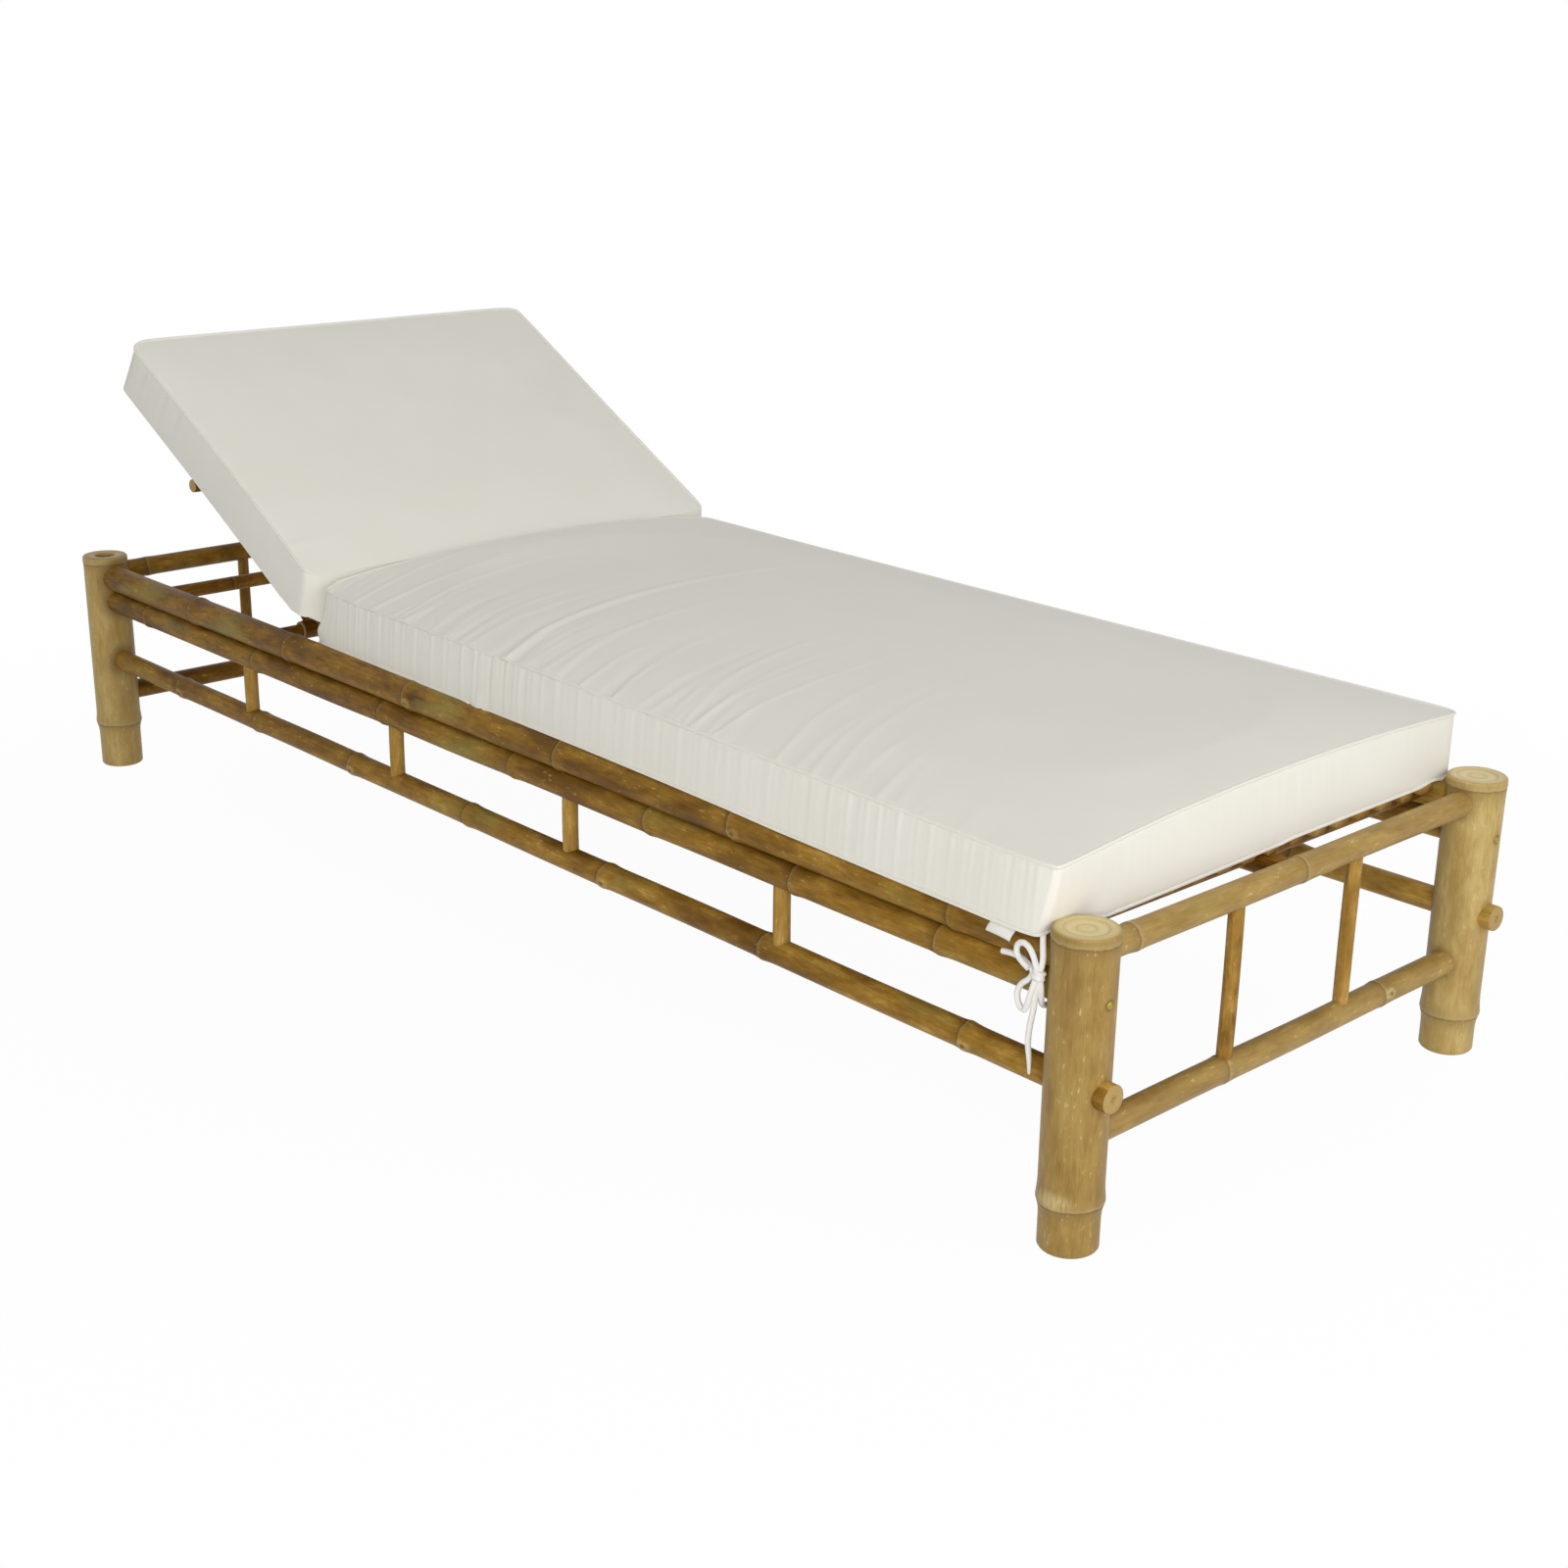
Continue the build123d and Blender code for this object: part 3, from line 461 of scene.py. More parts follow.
def carved_block(name):
    """Block split from a thick culm wall: straight brown grain along the backrest, seen on its cut faces.

    The grain lines are about 2 mm apart and 40 mm long.
    """
    made, tree, shader = material(name)
    place = add(tree, "Mapping", {"Vector": add(tree, "TexCoord", out="Object"), "Scale": (25, 500, 500),
                                  "Rotation": (0, -math.radians(REST_ANGLE), 0)})
    grain = add(tree, "TexNoise", {"Vector": place, "Scale": 1.0, "Detail": 4.0})
    stops = ((0.3, "#694715"), (0.5, "#95692a"), (0.7, "#b58d4c"))
    plug(tree, shader, {
        "Base Color": add(tree, "ValToRGB", (grain,), stops=stops),
        "Roughness": add(tree, "MapRange", (grain, 0.0, 1.0, 0.45, 0.7)),
        "Normal": add(tree, "Bump", {"Height": grain, "Strength": 0.3, "Distance": 0.0006})})
    return made


def cotton(name, colour, shade):
    """Plain-woven cotton cover: nearly white, faintly clouded, with a soft sheen.

    The real threads are 0.4 mm apart, too fine to show here, so the weave is drawn at 1.8 mm.
    """
    made, tree, shader = material(name)
    place = add(tree, "TexCoord", out="Object")
    cloud = add(tree, "TexNoise", {"Vector": place, "Scale": 9.0, "Detail": 4.0})
    share = add(tree, "MapRange", (cloud, 0.35, 0.7))
    height = add(tree, "TexNoise", {"Vector": place, "Scale": 420.0, "Detail": 3.0})
    for way in ("X", "Y", "Z"):
        threads = add(tree, "TexWave", {
            "Vector": place, "Scale": 1000 / 1.8 / 20, "Distortion": 0.6, "Detail": 1.0, "Detail Scale": 6.0},
            out=1, bands_direction=way)
        height = add(tree, "Math", (threads, 0.12, height), operation="MULTIPLY_ADD")
    plug(tree, shader, {
        "Base Color": add(tree, "Mix", {0: share, 6: linear(colour), 7: linear(shade)}, 2, data_type="RGBA"),
        "Normal": add(tree, "Bump", {"Height": height, "Strength": 0.10, "Distance": 0.0006}),
        "Roughness": 0.88, "Sheen Weight": 0.15, "Sheen Roughness": 0.5, "Specular IOR Level": 0.25})
    return made


def dull_brass(name):
    """Brass-plated screw, dulled: yellow metal with darker blotches of tarnish about 2 mm across."""
    made, tree, shader = material(name)
    place = add(tree, "TexCoord", out="Object")
    blotch = add(tree, "TexNoise", {"Vector": place, "Scale": 500.0, "Detail": 3.0})
    plug(tree, shader, {
        "Base Color": add(tree, "ValToRGB", (blotch,), stops=((0.3, "#6f6a2a"), (0.62, "#b9a24c"))),
        "Roughness": add(tree, "MapRange", (blotch, 0.0, 1.0, 0.3, 0.6)), "Metallic": 1.0})
    return made


MATERIALS = {
    "post_bamboo": bamboo(
        "Straw bamboo, varnished", ("#6b4f20", "#957638", "#ae9050", "#cab274"),
        "#7f6332", "#d6c48e", "#5d441d", green=0.15, stained=0.35, shine=0.3, ragged=4.0, contrast=0.62),
    "rail_bamboo": bamboo(
        "Tan bamboo, varnished", ("#452b06", "#7a5719", "#987128", "#c09a4c"),
        "#543408", "#c8aa68", "#35200a", green=0.45, contrast=0.9),
    "spindle_bamboo": bamboo(
        "Golden bamboo, varnished", ("#74541c", "#9c7632", "#b48e46", "#ccab66"),
        "#825a20", "#d4b676", "#4e3410", stained=0.4),
    "pole_bamboo": bamboo(
        "Brown bamboo, varnished", ("#3f2604", "#6f4a12", "#8e641f", "#b0863c"),
        "#4f3006", "#ba9852", "#2c1a06"),
    "slat_bamboo": bamboo(
        "Split bamboo", ("#5c3a0a", "#8a5e1a", "#a3762c", "#bf954a"),
        "#6a4010", "#c9a662", "#382008", roughness=(0.45, 0.65)),
    "screw_brass": dull_brass("Brass, dulled"),
    "cushion_fabric": cotton("Cotton cover, off-white", "#e8e5db", "#e6e3d8"),
    "tie_fabric": cotton("Cotton tape, white", "#eeece8", "#e6e3dc"),
}
BLOCK_WOOD = carved_block("Split bamboo block")


# Frame

def post(name, end, side, seed, tint):
    """Post: a hollow culm with a node above the floor, another under the rim, and a closed septum in its top.

    The profile runs from the middle of the bore's roof, down the bore, round the foot and up the outside to
    the middle of the top. The head post on the near side is open, with a deep hollow there.
    """
    rng = np.random.default_rng(seed + 500)
    around, rim, low_node = 72, POST_HEIGHT, POST_NODES[name]
    wall = stations(rim, (low_node, RIM_NODE, MIDDLE[0]), 5.0)
    gap = node_gap(wall, (low_node, RIM_NODE), around, rng, 0.4)
    outer = POST_FOOT_R + (POST_R - POST_FOOT_R) * ramp(wall, low_node - 20, low_node) ** 2
    outer = outer[:, None] + node_swell(gap, np.where(wall < rim / 2, 1.5, 0.7)[:, None])
    # painted shade: the wood is darkened where each rail enters, partly a real smoke stain and partly painted
    # contact shade, and round the screw a dark ring is painted shade of its hole
    turn = angles(around)
    shade = np.zeros((len(wall), around))
    inward, across, screw = -end * np.pi / 2, np.pi * (side < 0), (MIDDLE[0], 0)
    for angle, (height, radius), reach, power, depth in (
            (inward, UPPER, 11.0, 2, 0.7), (inward, MIDDLE, 11.0, 2, 0.7), (inward, LOWER, 10.0, 2, 0.7),
            (across, TOP_RAIL, 6.0, 2, 0.5), (across, LOW_RAIL, 6.0, 2, 0.5),
            (inward + np.pi, screw, 6.2, 6, 1.0)):
        away = np.hypot(wall[:, None] - height, POST_R * round_from(turn, angle)) - radius
        shade = np.maximum(shade, depth * np.exp(-(np.maximum(away, 0) / reach) ** power))
    # top: radius, depth under the rim, and how pale the wood is there
    if name == "post_head_near":
        roof = rim - 42.0
        # down the deep hollow the tint falls to 0: painted shade inside it
        top = [(31.3, 0.3, 0.2), (24, 0, 0.35), (17, 0.2, 0.5), (14.6, 1.2, 0.35), (14, 6, 0.1),
               (13.6, 26, 0.0), (12, 29, 0.0), (6, 30, 0.0), (0.3, 30, 0.0)]
    else:
        roof = rim - 14.0
        top = [(31.3, 0.3, 0.4), (29, 0, 0.7), (23.5, 0.1, 0.85), (22.4, 0.6, 0.62), (21.2, 1.3, 0.7),
               (17, 1.1, 0.95), (11.5, 0.9, 0.9), (10.4, 1.3, 0.68), (8.8, 1.0, 0.78), (4, 0.8, 0.95),
               (0.3, 0.8, 0.8)]
    top_r, top_down, top_tint = np.array(top).T
    # bore: radius and height
    bore_r, bore_s = np.array([
        (0.3, roof), (10, roof), (POST_BORE_R - 2, roof), (POST_BORE_R, roof - 2), (POST_BORE_R, roof / 2),
        (POST_BORE_R, 6.0), (POST_BORE_R + 1, 0.0), (26, 0.0), (POST_FOOT_R - 1.2, 0.2)]).T
    # pale scar of a branch, over the foot node of the near foot post
    scar = bell(wall[:, None], BRANCH_SCAR[1], 9.0) * bell(round_from(turn, BRANCH_SCAR[0]), 0, 0.62)
    scar *= name == "post_foot_near"
    inner, bark, lid = np.ones(len(bore_r)), np.zeros(len(wall)), np.ones(len(top_r))
    values = {"cut": np.concatenate([inner, bark, lid]),
              "tint": np.concatenate([CUT_TINT * inner, tint + bark, top_tint]),
              "bud": profile(around, 0 * inner, 0.75 * scar, 0 * lid),
              "shade": profile(around, 0 * inner, shade, 0 * lid),
              **node_values(profile(around, FAR_FROM_NODE * inner, gap, FAR_FROM_NODE * lid))}
    radii = profile(around, bore_r, outer + 1.2 * scar, top_r)
    along = np.concatenate([bore_s, wall, rim - top_down])
    foot = (end * POST_X, side * POST_Y, 0)
    thing = turned(f"{name}_culm", foot, (0, 0, 1), radii, along, values, around, seed, 0.5)
    finish_piece(thing, "frame", "post_bamboo", name)


def build_frame():
    """Posts, rails, spindles and poles of the standing frame."""
    seed = 100
    for end_name, end in ENDS.items():
        x = end * POST_X
        for side_name, side in SIDES.items():
            seed += 1
            name = f"post_{end_name}_{side_name}"
            post(name, end, side, seed, POST_TINTS[name])
            low, high = ((x, side * END_SPINDLE_Y, z) for z in END_SPINDLE_Z)
            culm(f"{end_name}_spindle_{side_name}", "frame", "spindle_bamboo", low, high, END_SPINDLE_R, (),
                 0.35 + 0.15 * side, seed + 20, bend=0.8, around=32)
        for row, (height, radius), nodes, buds in (("top", TOP_RAIL, (48, 318), ()),
                                                   ("low", LOW_RAIL, (210, 492), [(501, BUD_FACING)])):
            seed += 1
            culm(f"{end_name}_{row}_rail", "frame", "rail_bamboo", *pole_ends(x, END_RAIL_END, height),
                 radius, nodes, END_RAIL_TINTS[end_name], seed + 40, 0.9, buds=buds,
                 look=END_RAIL_LOOKS[end_name])
    for side_name, side in SIDES.items():
        y = side * POST_Y
        for row, (height, radius), nodes, reach, swell, pith in (
                ("upper", UPPER, UPPER_NODES, RAIL_END, 1.6, 0.0),
                ("middle", MIDDLE, MIDDLE_NODES, RAIL_END, 1.4, 0.0),
                ("lower", LOWER, LOWER_NODES, TENON_END, 1.4, 3.0)):
            seed += 1
            places = [reach - side * at for at in nodes]
            buds = [(places[index] + 9.0, BUD_FACING + 0.5 * (-1) ** index) for index in BUDS[row]]
            # painted light: the far side's rails are painted paler, to lift them out of the shade under the
            # cushion
            tint = RAIL_TINTS[row] + 0.3 * (side > 0)
            culm(f"{row}_rail_{side_name}", "frame", "rail_bamboo", (-reach, y, height), (reach, y, height),
                 radius, places, tint, seed + 60, swell, pith, around=48, paler=0.3, buds=buds)
        for index, x in enumerate(SPINDLE_X, 1):
            seed += 1
            low, high = ((x, y, z) for z in SPINDLE_Z)
            culm(f"side_spindle_{side_name}_{index}", "frame", "spindle_bamboo", low, high, SPINDLE_R, (),
                 0.5, seed + 80, around=28)
        for index, x in enumerate(SEAT_POLE_X, 1):
            seed += 1
            inner, outer = ((x, side * end, SLAT_Z - SEAT_POLE_R) for end in (12.0, POLE_END))
            pole(f"seat_cross_pole_{side_name}_{index}", "frame", inner, outer, SEAT_POLE_R, (120, 250),
                 seed + 90, wave=0.1)
    head, foot = ((x, 0, SLAT_Z - CENTRE_R) for x in CENTRE_X)
    pole("centre_pole", "frame", head, foot, CENTRE_R, (210, 480, 770, 1060), 301, 0.45, around=40, wave=0.1)
    for name, x, z, radius in (("seat_rear_pole", -330, SLAT_Z - 12, 12.0), ("hinge_pole", *HINGE, 9.0),
                               ("prop_pivot_pole", *PIVOT, 9.0), ("head_cross_pole", -838, 289.31, 10.5)):
        seed += 1
        pole(name, "frame", *pole_ends(x, POLE_END, z), radius, (130, 390), seed + 110, 0.45, around=32)


def slat_row(node, body, start, end, count, seed):
    """Row of split-bamboo slats: a rounded section, flat on top and narrower below, carried along each slat.

    The section has 20 points. Each slat waves sideways by 0.8 sin(x / 180 + p), and its width by 3%.
    """
    rng = np.random.default_rng(seed)
    top, low, thick = SLAT_TOP / 2, SLAT_BOTTOM / 2, SLAT_THICK
    half = np.array([(low - 1.5, 0), (low, 0.5), (low + 1.6, 2.2), (top - 0.4, 5.0), (top, 6.4),
                     (top - 0.1, 7.9), (top - 0.9, 8.8), (top - 2.4, thick), (top / 2, thick)])
    other = half[::-1] * (-1, 1)
    section = np.concatenate([other[-1:], [(0, 0)], half, [(0, thick)], other[:-1]])
    around, rows = len(section), np.linspace(0, 1, 60)
    along = start + rows * (end - start)
    at_ends = np.isin(rows, (0, 1))
    shrink = np.where(at_ends, 0.93, 1.0)
    _, places = grid_faces(len(rows), around)
    slats, faces, uvs, gaps, tints = [], [], [], [], []
    for index in range(count):
        middle = (index - (count - 1) / 2) * SLAT_PITCH + 0.8 * np.sin(along / 180 + phase(rng))
        width = 1 + 0.03 * np.sin(along / 95 + phase(rng))
        ring = np.zeros((len(rows), around, 3))
        ring[..., 0] = along[:, None]
        ring[..., 1] = middle[:, None] + section[:, 0] * (width * shrink)[:, None] * 0.985
        ring[..., 2] = SLAT_Z + thick / 2 + (section[:, 1] - thick / 2) * shrink[:, None]
        slats.append(ring)
        faces += [block + index * len(rows) * around for block in tube_faces(len(rows), around)]
        shift = rng.uniform(0, 40, 2)
        uvs.append(unrolled(places, 1, 0.0034, along * MM, shift))
        uvs += [section[::-1] * MM + shift, section * MM + shift + 1]
        nodes = start + rng.uniform(60, 200) + np.arange(8) * rng.uniform(230, 300)
        gaps.append(node_gap(along, nodes, around, rng))
        tints.append(np.full(len(rows) * around, rng.uniform(0.25, 0.75)))
    cut = np.tile(np.repeat(np.where(at_ends, 0.25, 0.0), around), count)
    points = np.concatenate(slats)
    if body == "backrest":
        points = lifted(points)
    values = {"cut": cut, "tint": np.concatenate(tints), **node_values(np.concatenate(gaps))}
    thing = mesh_object(f"{node}_split", points, faces, np.concatenate(uvs), values)
    finish_piece(thing, body, "slat_bamboo", node)


def lifted(points, angle=REST_ANGLE):
    """Points of the flat backrest turned up about the hinge axis."""
    out = np.array(points, float)
    turn = math.radians(angle)
    x, z = out[..., 0] - HINGE[0], out[..., 2] - HINGE[1]
    out[..., 0] = HINGE[0] + x * math.cos(turn) + z * math.sin(turn)
    out[..., 2] = HINGE[1] - x * math.sin(turn) + z * math.cos(turn)
    return out


def sleeve(node, body, x, z, half, seed):
    """Hollow culm across the width, round the pole that it turns on.

    Its profile runs out along the bore and back along the outside.
    """
    around, outer, bore = 36, TUBE_R, TUBE_BORE_R
    outside = stations(2 * half, (half * 0.6, half * 1.45)) - half
    inner = [half - 0.6, half / 2, 0, -half / 2, -half + 0.6]
    along = np.concatenate([inner, [-half, -half], outside, [half, half]])
    radii = np.concatenate([[bore] * len(inner), [bore + 0.5, outer - 0.6], [outer] * len(outside),
                            [outer - 0.6, bore + 0.5]])
    turn = angles(around)
    circle = np.stack([np.sin(turn), 0 * turn, np.cos(turn)], -1)
    points = np.array([x, 0, z]) + along[:, None, None] * (0, 1, 0) + radii[:, None, None] * circle
    quads, places = grid_faces(len(along), around, (1, 1))
    uv = unrolled(places, around, 2 * np.pi * outer * MM, np.append(along, half) * MM, (seed, 0))
    gap = node_gap(along, (-half * 0.4, half * 0.45), around, np.random.default_rng(seed))
    cut = profile(around, np.where(radii < outer - 0.3, 1.0, 0.0))
    values = {"cut": cut, "tint": 0.5 + 0 * cut, **node_values(gap)}
    thing = mesh_object(f"{node}_culm", points, [quads], uv, values)
    finish_piece(thing, body, "pole_bamboo", node)


def build_backrest():
    """Hinge tube, stiles, cross poles and slats of the backrest, as it stands at rest."""
    sleeve("hinge_tube", "backrest", *HINGE, 310.0, 1)
    for side_name, side in SIDES.items():
        ends = lifted([(HINGE[0] - along, side * STILE_Y, HINGE[1]) for along in (BACK_LENGTH, 10.0)])
        pole(f"back_stile_{side_name}", "backrest", *ends, 10.0, (70, 250, 430), 330 + side, height=0.8,
             around=32, wave=0.1)
    for index, along in enumerate(BACK_POLES, 1):
        ends = lifted(pole_ends(HINGE[0] - along, BACK_POLE_END, SLAT_Z - BACK_POLE_R))
        pole(f"back_cross_pole_{index}", "backrest", *ends, BACK_POLE_R, (150, 390), 340 + index)
    slat_row("back_slats", "backrest", *BACK_SLATS, 61)
    for side_name in SIDES:
        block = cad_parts[f"notch_block_{side_name}"]
        block.data.materials.clear()
        block.data.materials.append(BLOCK_WOOD)


def build_prop():
    """Sleeve, legs and top bar of the prop, as it stands at rest."""
    sleeve("prop_sleeve", "prop", *PIVOT, 245.0, 2)
    base, top = np.array([PIVOT[0], 0, PIVOT[1]]), np.array([BAR[0], 0, BAR[1]])
    way = unit(top - base)
    for side_name, side in SIDES.items():
        across = np.array([0, side * LEG_Y, 0])
        low, high = base + way * 11.0 + across, top - way * 8.0 + across
        pole(f"prop_leg_{side_name}", "prop", low, high, 9.0, (95,), 350 + side, height=0.8, wave=0.1)
    ends = pole_ends(BAR[0], BAR_END, BAR[1])
    # the top bar's low tint is painted shade: it lies in shadow under the back cushion
    pole("prop_top_bar", "prop", *ends, 9.5, (60, 330, 560), 353, 0.15, around=32)


# Cushions

def closer_at_ends(count, pull=0.55):
    """Shares from 0 to 1 in count steps, closer together at both ends: a mix of t and (1 - cos(pi t)) / 2."""
    even = np.linspace(0, 1, count + 1)
    return (1 - pull) * even + pull * (0.5 - 0.5 * np.cos(np.pi * even))


def by_ends(share, reach):
    """exp(-t / reach) + exp(-(1 - t) / reach): 1 at both ends of an edge, fading inwards."""
    return np.exp(-share / reach) + np.exp(-(1 - share) / reach)


def edge_line(first, last, draw):
    """Side of a cushion from corner to corner, drawn in by draw sin(pi t) and more at both corners."""
    (x0, y0), (x1, y1) = first, last

    def line(share):
        sag = draw * np.sin(np.pi * share) + 5.0 * np.sign(draw) * by_ends(share, 0.012)
        return np.stack([x0 + (x1 - x0) * share, y0 + (y1 - y0) * share + sag], -1)
    return line


def box_cushion(near_line, far_line, ends, low, high, cells, rows):
    """Box cushion before it is filled: a top and a bottom panel on one grid, and the boxing between them.

    Panel point (a, b) = (1 - b) near(a) + b far(a), with a along the length and b across. Gives points, quads
    and, for each step round the edge, the boxing's points from the low seam to the top seam.
    """
    nx, ny = cells
    a, b = closer_at_ends(nx)[:, None], closer_at_ends(ny)[None, :]
    near, far = near_line(a[:, 0]), far_line(a[:, 0])
    flat = (1 - b)[..., None] * near[:, None, :] + b[..., None] * far[:, None, :]
    flat[..., 0] += ends(a, b)
    x, y = flat[..., 0], flat[..., 1]
    bottom, top = (np.stack([x, y, face(x, y)], -1).reshape(-1, 3) for face in (low, high))
    count = (nx + 1) * (ny + 1)
    i, j = np.arange(nx), np.arange(ny)
    edge = np.concatenate([i * (ny + 1), nx * (ny + 1) + j, (nx - i) * (ny + 1) + ny, ny - j])
    share = closer_at_ends(rows, 0.75)[1:-1][None, :, None]
    wall = bottom[edge][:, None, :] * (1 - share) + top[edge][:, None, :] * share
    boxing = 2 * count + np.arange(len(edge) * (rows - 1)).reshape(len(edge), rows - 1)
    level = np.column_stack([edge, boxing, edge + count])
    turned_over = [0, 3, 2, 1]
    panel = grid_faces(nx + 1, ny + 1, (0, 0))[0][:, turned_over]
    band = level.ravel()[grid_faces(*level.shape, (1, 0))[0][:, turned_over]]
    points = np.concatenate([bottom, top, wall.reshape(-1, 3)])
    return points, np.concatenate([panel[:, ::-1], panel + count, band]), level


def read_rows(items, key, width=3):
    """One value of all items of a mesh, as rows of the given width."""
    data = np.empty(len(items) * width)
    items.foreach_get(key, data)
    return data.reshape(-1, width)


def filled(thing, seams):
    """Fills a cover by cloth simulation: pressure from inside, no gravity, and a limit to the swell.

    The seams hold their line, and the panels and the boxing swell between them.
    """
    start = read_rows(thing.data.vertices, "co")
    thing.vertex_groups.new(name="Seams").add(seams.ravel().tolist(), 1.0, "REPLACE")
    cloth = thing.modifiers.new("Filling", "CLOTH")
    configured(cloth.settings, quality=5, mass=0.25, use_pressure=True, uniform_pressure_force=3.0,
               tension_stiffness=15, compression_stiffness=15, shear_stiffness=8, bending_stiffness=0.5,
               vertex_group_mass="Seams")
    cloth.settings.effector_weights.gravity = 0
    cloth.collision_settings.use_collision = False
    for step in range(1, 21):
        scene.frame_set(step)
    shape = thing.evaluated_get(bpy.context.evaluated_depsgraph_get()).to_mesh()
    move = read_rows(shape.vertices, "co") - start
    thing.modifiers.clear()
    scene.frame_set(1)
    far = np.linalg.norm(move, axis=1, keepdims=True)
    return start + move * np.minimum(1.0, MOST_SWELL / np.maximum(far, 1e-9))


def subdivided(thing, level, cells):
    """Divides a cover twice. Gives its points, its normals and how near each point is to a seam, from 0 to 1.

    The seams run round both panels, and up the boxing at the four corners.
    """
    nx, ny = cells
    mark = np.zeros(len(thing.data.vertices), np.float32)
    mark[level[:, [0, -1]]] = 1.0
    mark[level[[0, nx, nx + ny, 2 * nx + ny]]] = 1.0
    thing.data.attributes.new("seam", "FLOAT", "POINT").data.foreach_set("value", mark)
    thing.modifiers.new("Rounding", "SUBSURF").levels = 2
    made = bpy.data.meshes.new_from_object(thing.evaluated_get(bpy.context.evaluated_depsgraph_get()))
    thing.modifiers.clear()
    made.name = thing.data.name
    thing.data = made
    made.shade_smooth()
    near = read_rows(made.attributes["seam"].data, "value", 1)[:, 0]
    return read_rows(made.vertices, "co") / MM, read_rows(made.vertex_normals, "vector"), near


def set_points(thing, points):
    """Writes points in millimetres back to a mesh."""
    thing.data.vertices.foreach_set("co", np.asarray(points * MM, np.float32).ravel())
    thing.data.update()


def folds(x, y, lines):
    """Soft ridges across a panel, from the near seam at x0 along x = x0 + bow ((y - 50)^2 - 409^2).

    Height h exp(-(d / w)^2) at the distance d from the line, fading out over the line's length.
    """
    total = np.zeros_like(x)
    for start, bow, length, width, height in lines:
        along = np.clip(y + 362.0, 0, length)
        fade = ramp(along, 0, 20.0) * (1 - along / length) ** 1.3
        total += height * bell(x - bow * ((y - 50.0) ** 2 - 409.0 ** 2), start, width) * fade
    return total


def gathers(run, height, rng, lengths):
    """Upright pleats of a boxing: waves of these lengths along it, in patches, stronger by the top seam."""
    pleat = sum(np.sin(run / length * 2 * np.pi + phase(rng) + 1.6 * np.sin(run / 90 + phase(rng)))
                for length in lengths)
    patchy = np.sin(run / 71 + phase(rng)) * np.sin(run / 167 + phase(rng))
    return pleat * (0.45 + 0.55 * np.clip(patchy, 0, 1)) * (0.4 + 0.6 * height ** 2)


def welt(name, loop, normals, size, body=None):
    """Narrow seam lip along a closed loop of points: an oval section that stands on the cover's own normals.

    Its size is given for each point of the loop.
    """
    fine, stops, around = np.arange(len(loop) * 3) / 3.0, np.arange(len(loop) + 1), 10
    rows = np.column_stack([loop, normals, size])
    rows = np.stack([np.interp(fine, stops, np.append(column, column[0])) for column in rows.T], 1)
    loop, normals, size = rows[:, :3], rows[:, 3:6], rows[:, 6:]
    ahead = unit(np.roll(loop, -1, axis=0) - np.roll(loop, 1, axis=0))
    out = unit(normals - ahead * (normals * ahead).sum(1, keepdims=True))
    up = np.cross(ahead, out)
    turn = angles(around)[:, None]
    oval = out[:, None, :] * (0.6 + 1.2 * np.cos(turn)) + up[:, None, :] * 0.8 * np.sin(turn)
    quads = grid_faces(len(loop), around, (1, 1))[0][:, [0, 3, 2, 1]]
    thing = mesh_object(name, loop[:, None, :] + size[:, None, :] * oval, [quads])
    finish_piece(thing, body, "cushion_fabric")


def rounded_corner(points, corner, inward, radius):
    """Rounds one corner of a cushion's plan: the square of the radius's side is drawn onto a quarter disc.

    With X and Y from 0 inside to 1 at the edges, X' = X sqrt(1 - Y^2 / 2) and Y' = Y sqrt(1 - X^2 / 2).
    """
    share = 1 - np.clip((points[:, :2] - corner) * inward / radius, 0, 1)
    drawn = share * np.sqrt(1 - share[:, ::-1] ** 2 / 2)
    points[:, :2] += np.array(inward) * radius * (share - drawn)


def under_seat(x, y):
    """Height of the seat cushion's underside: on the slats, on the rails beside them, and past their ends."""
    rail = UPPER[0] + np.sqrt(np.clip((UPPER[1] + 0.4) ** 2 - (np.abs(y) - POST_Y) ** 2, 0, None))
    on_slats = ON_DECK - 5.5 * ramp(x, PAST_SLATS, PAST_SLATS + 2)
    return np.where(np.abs(y) < 318, on_slats, np.maximum(rail, 316.0))


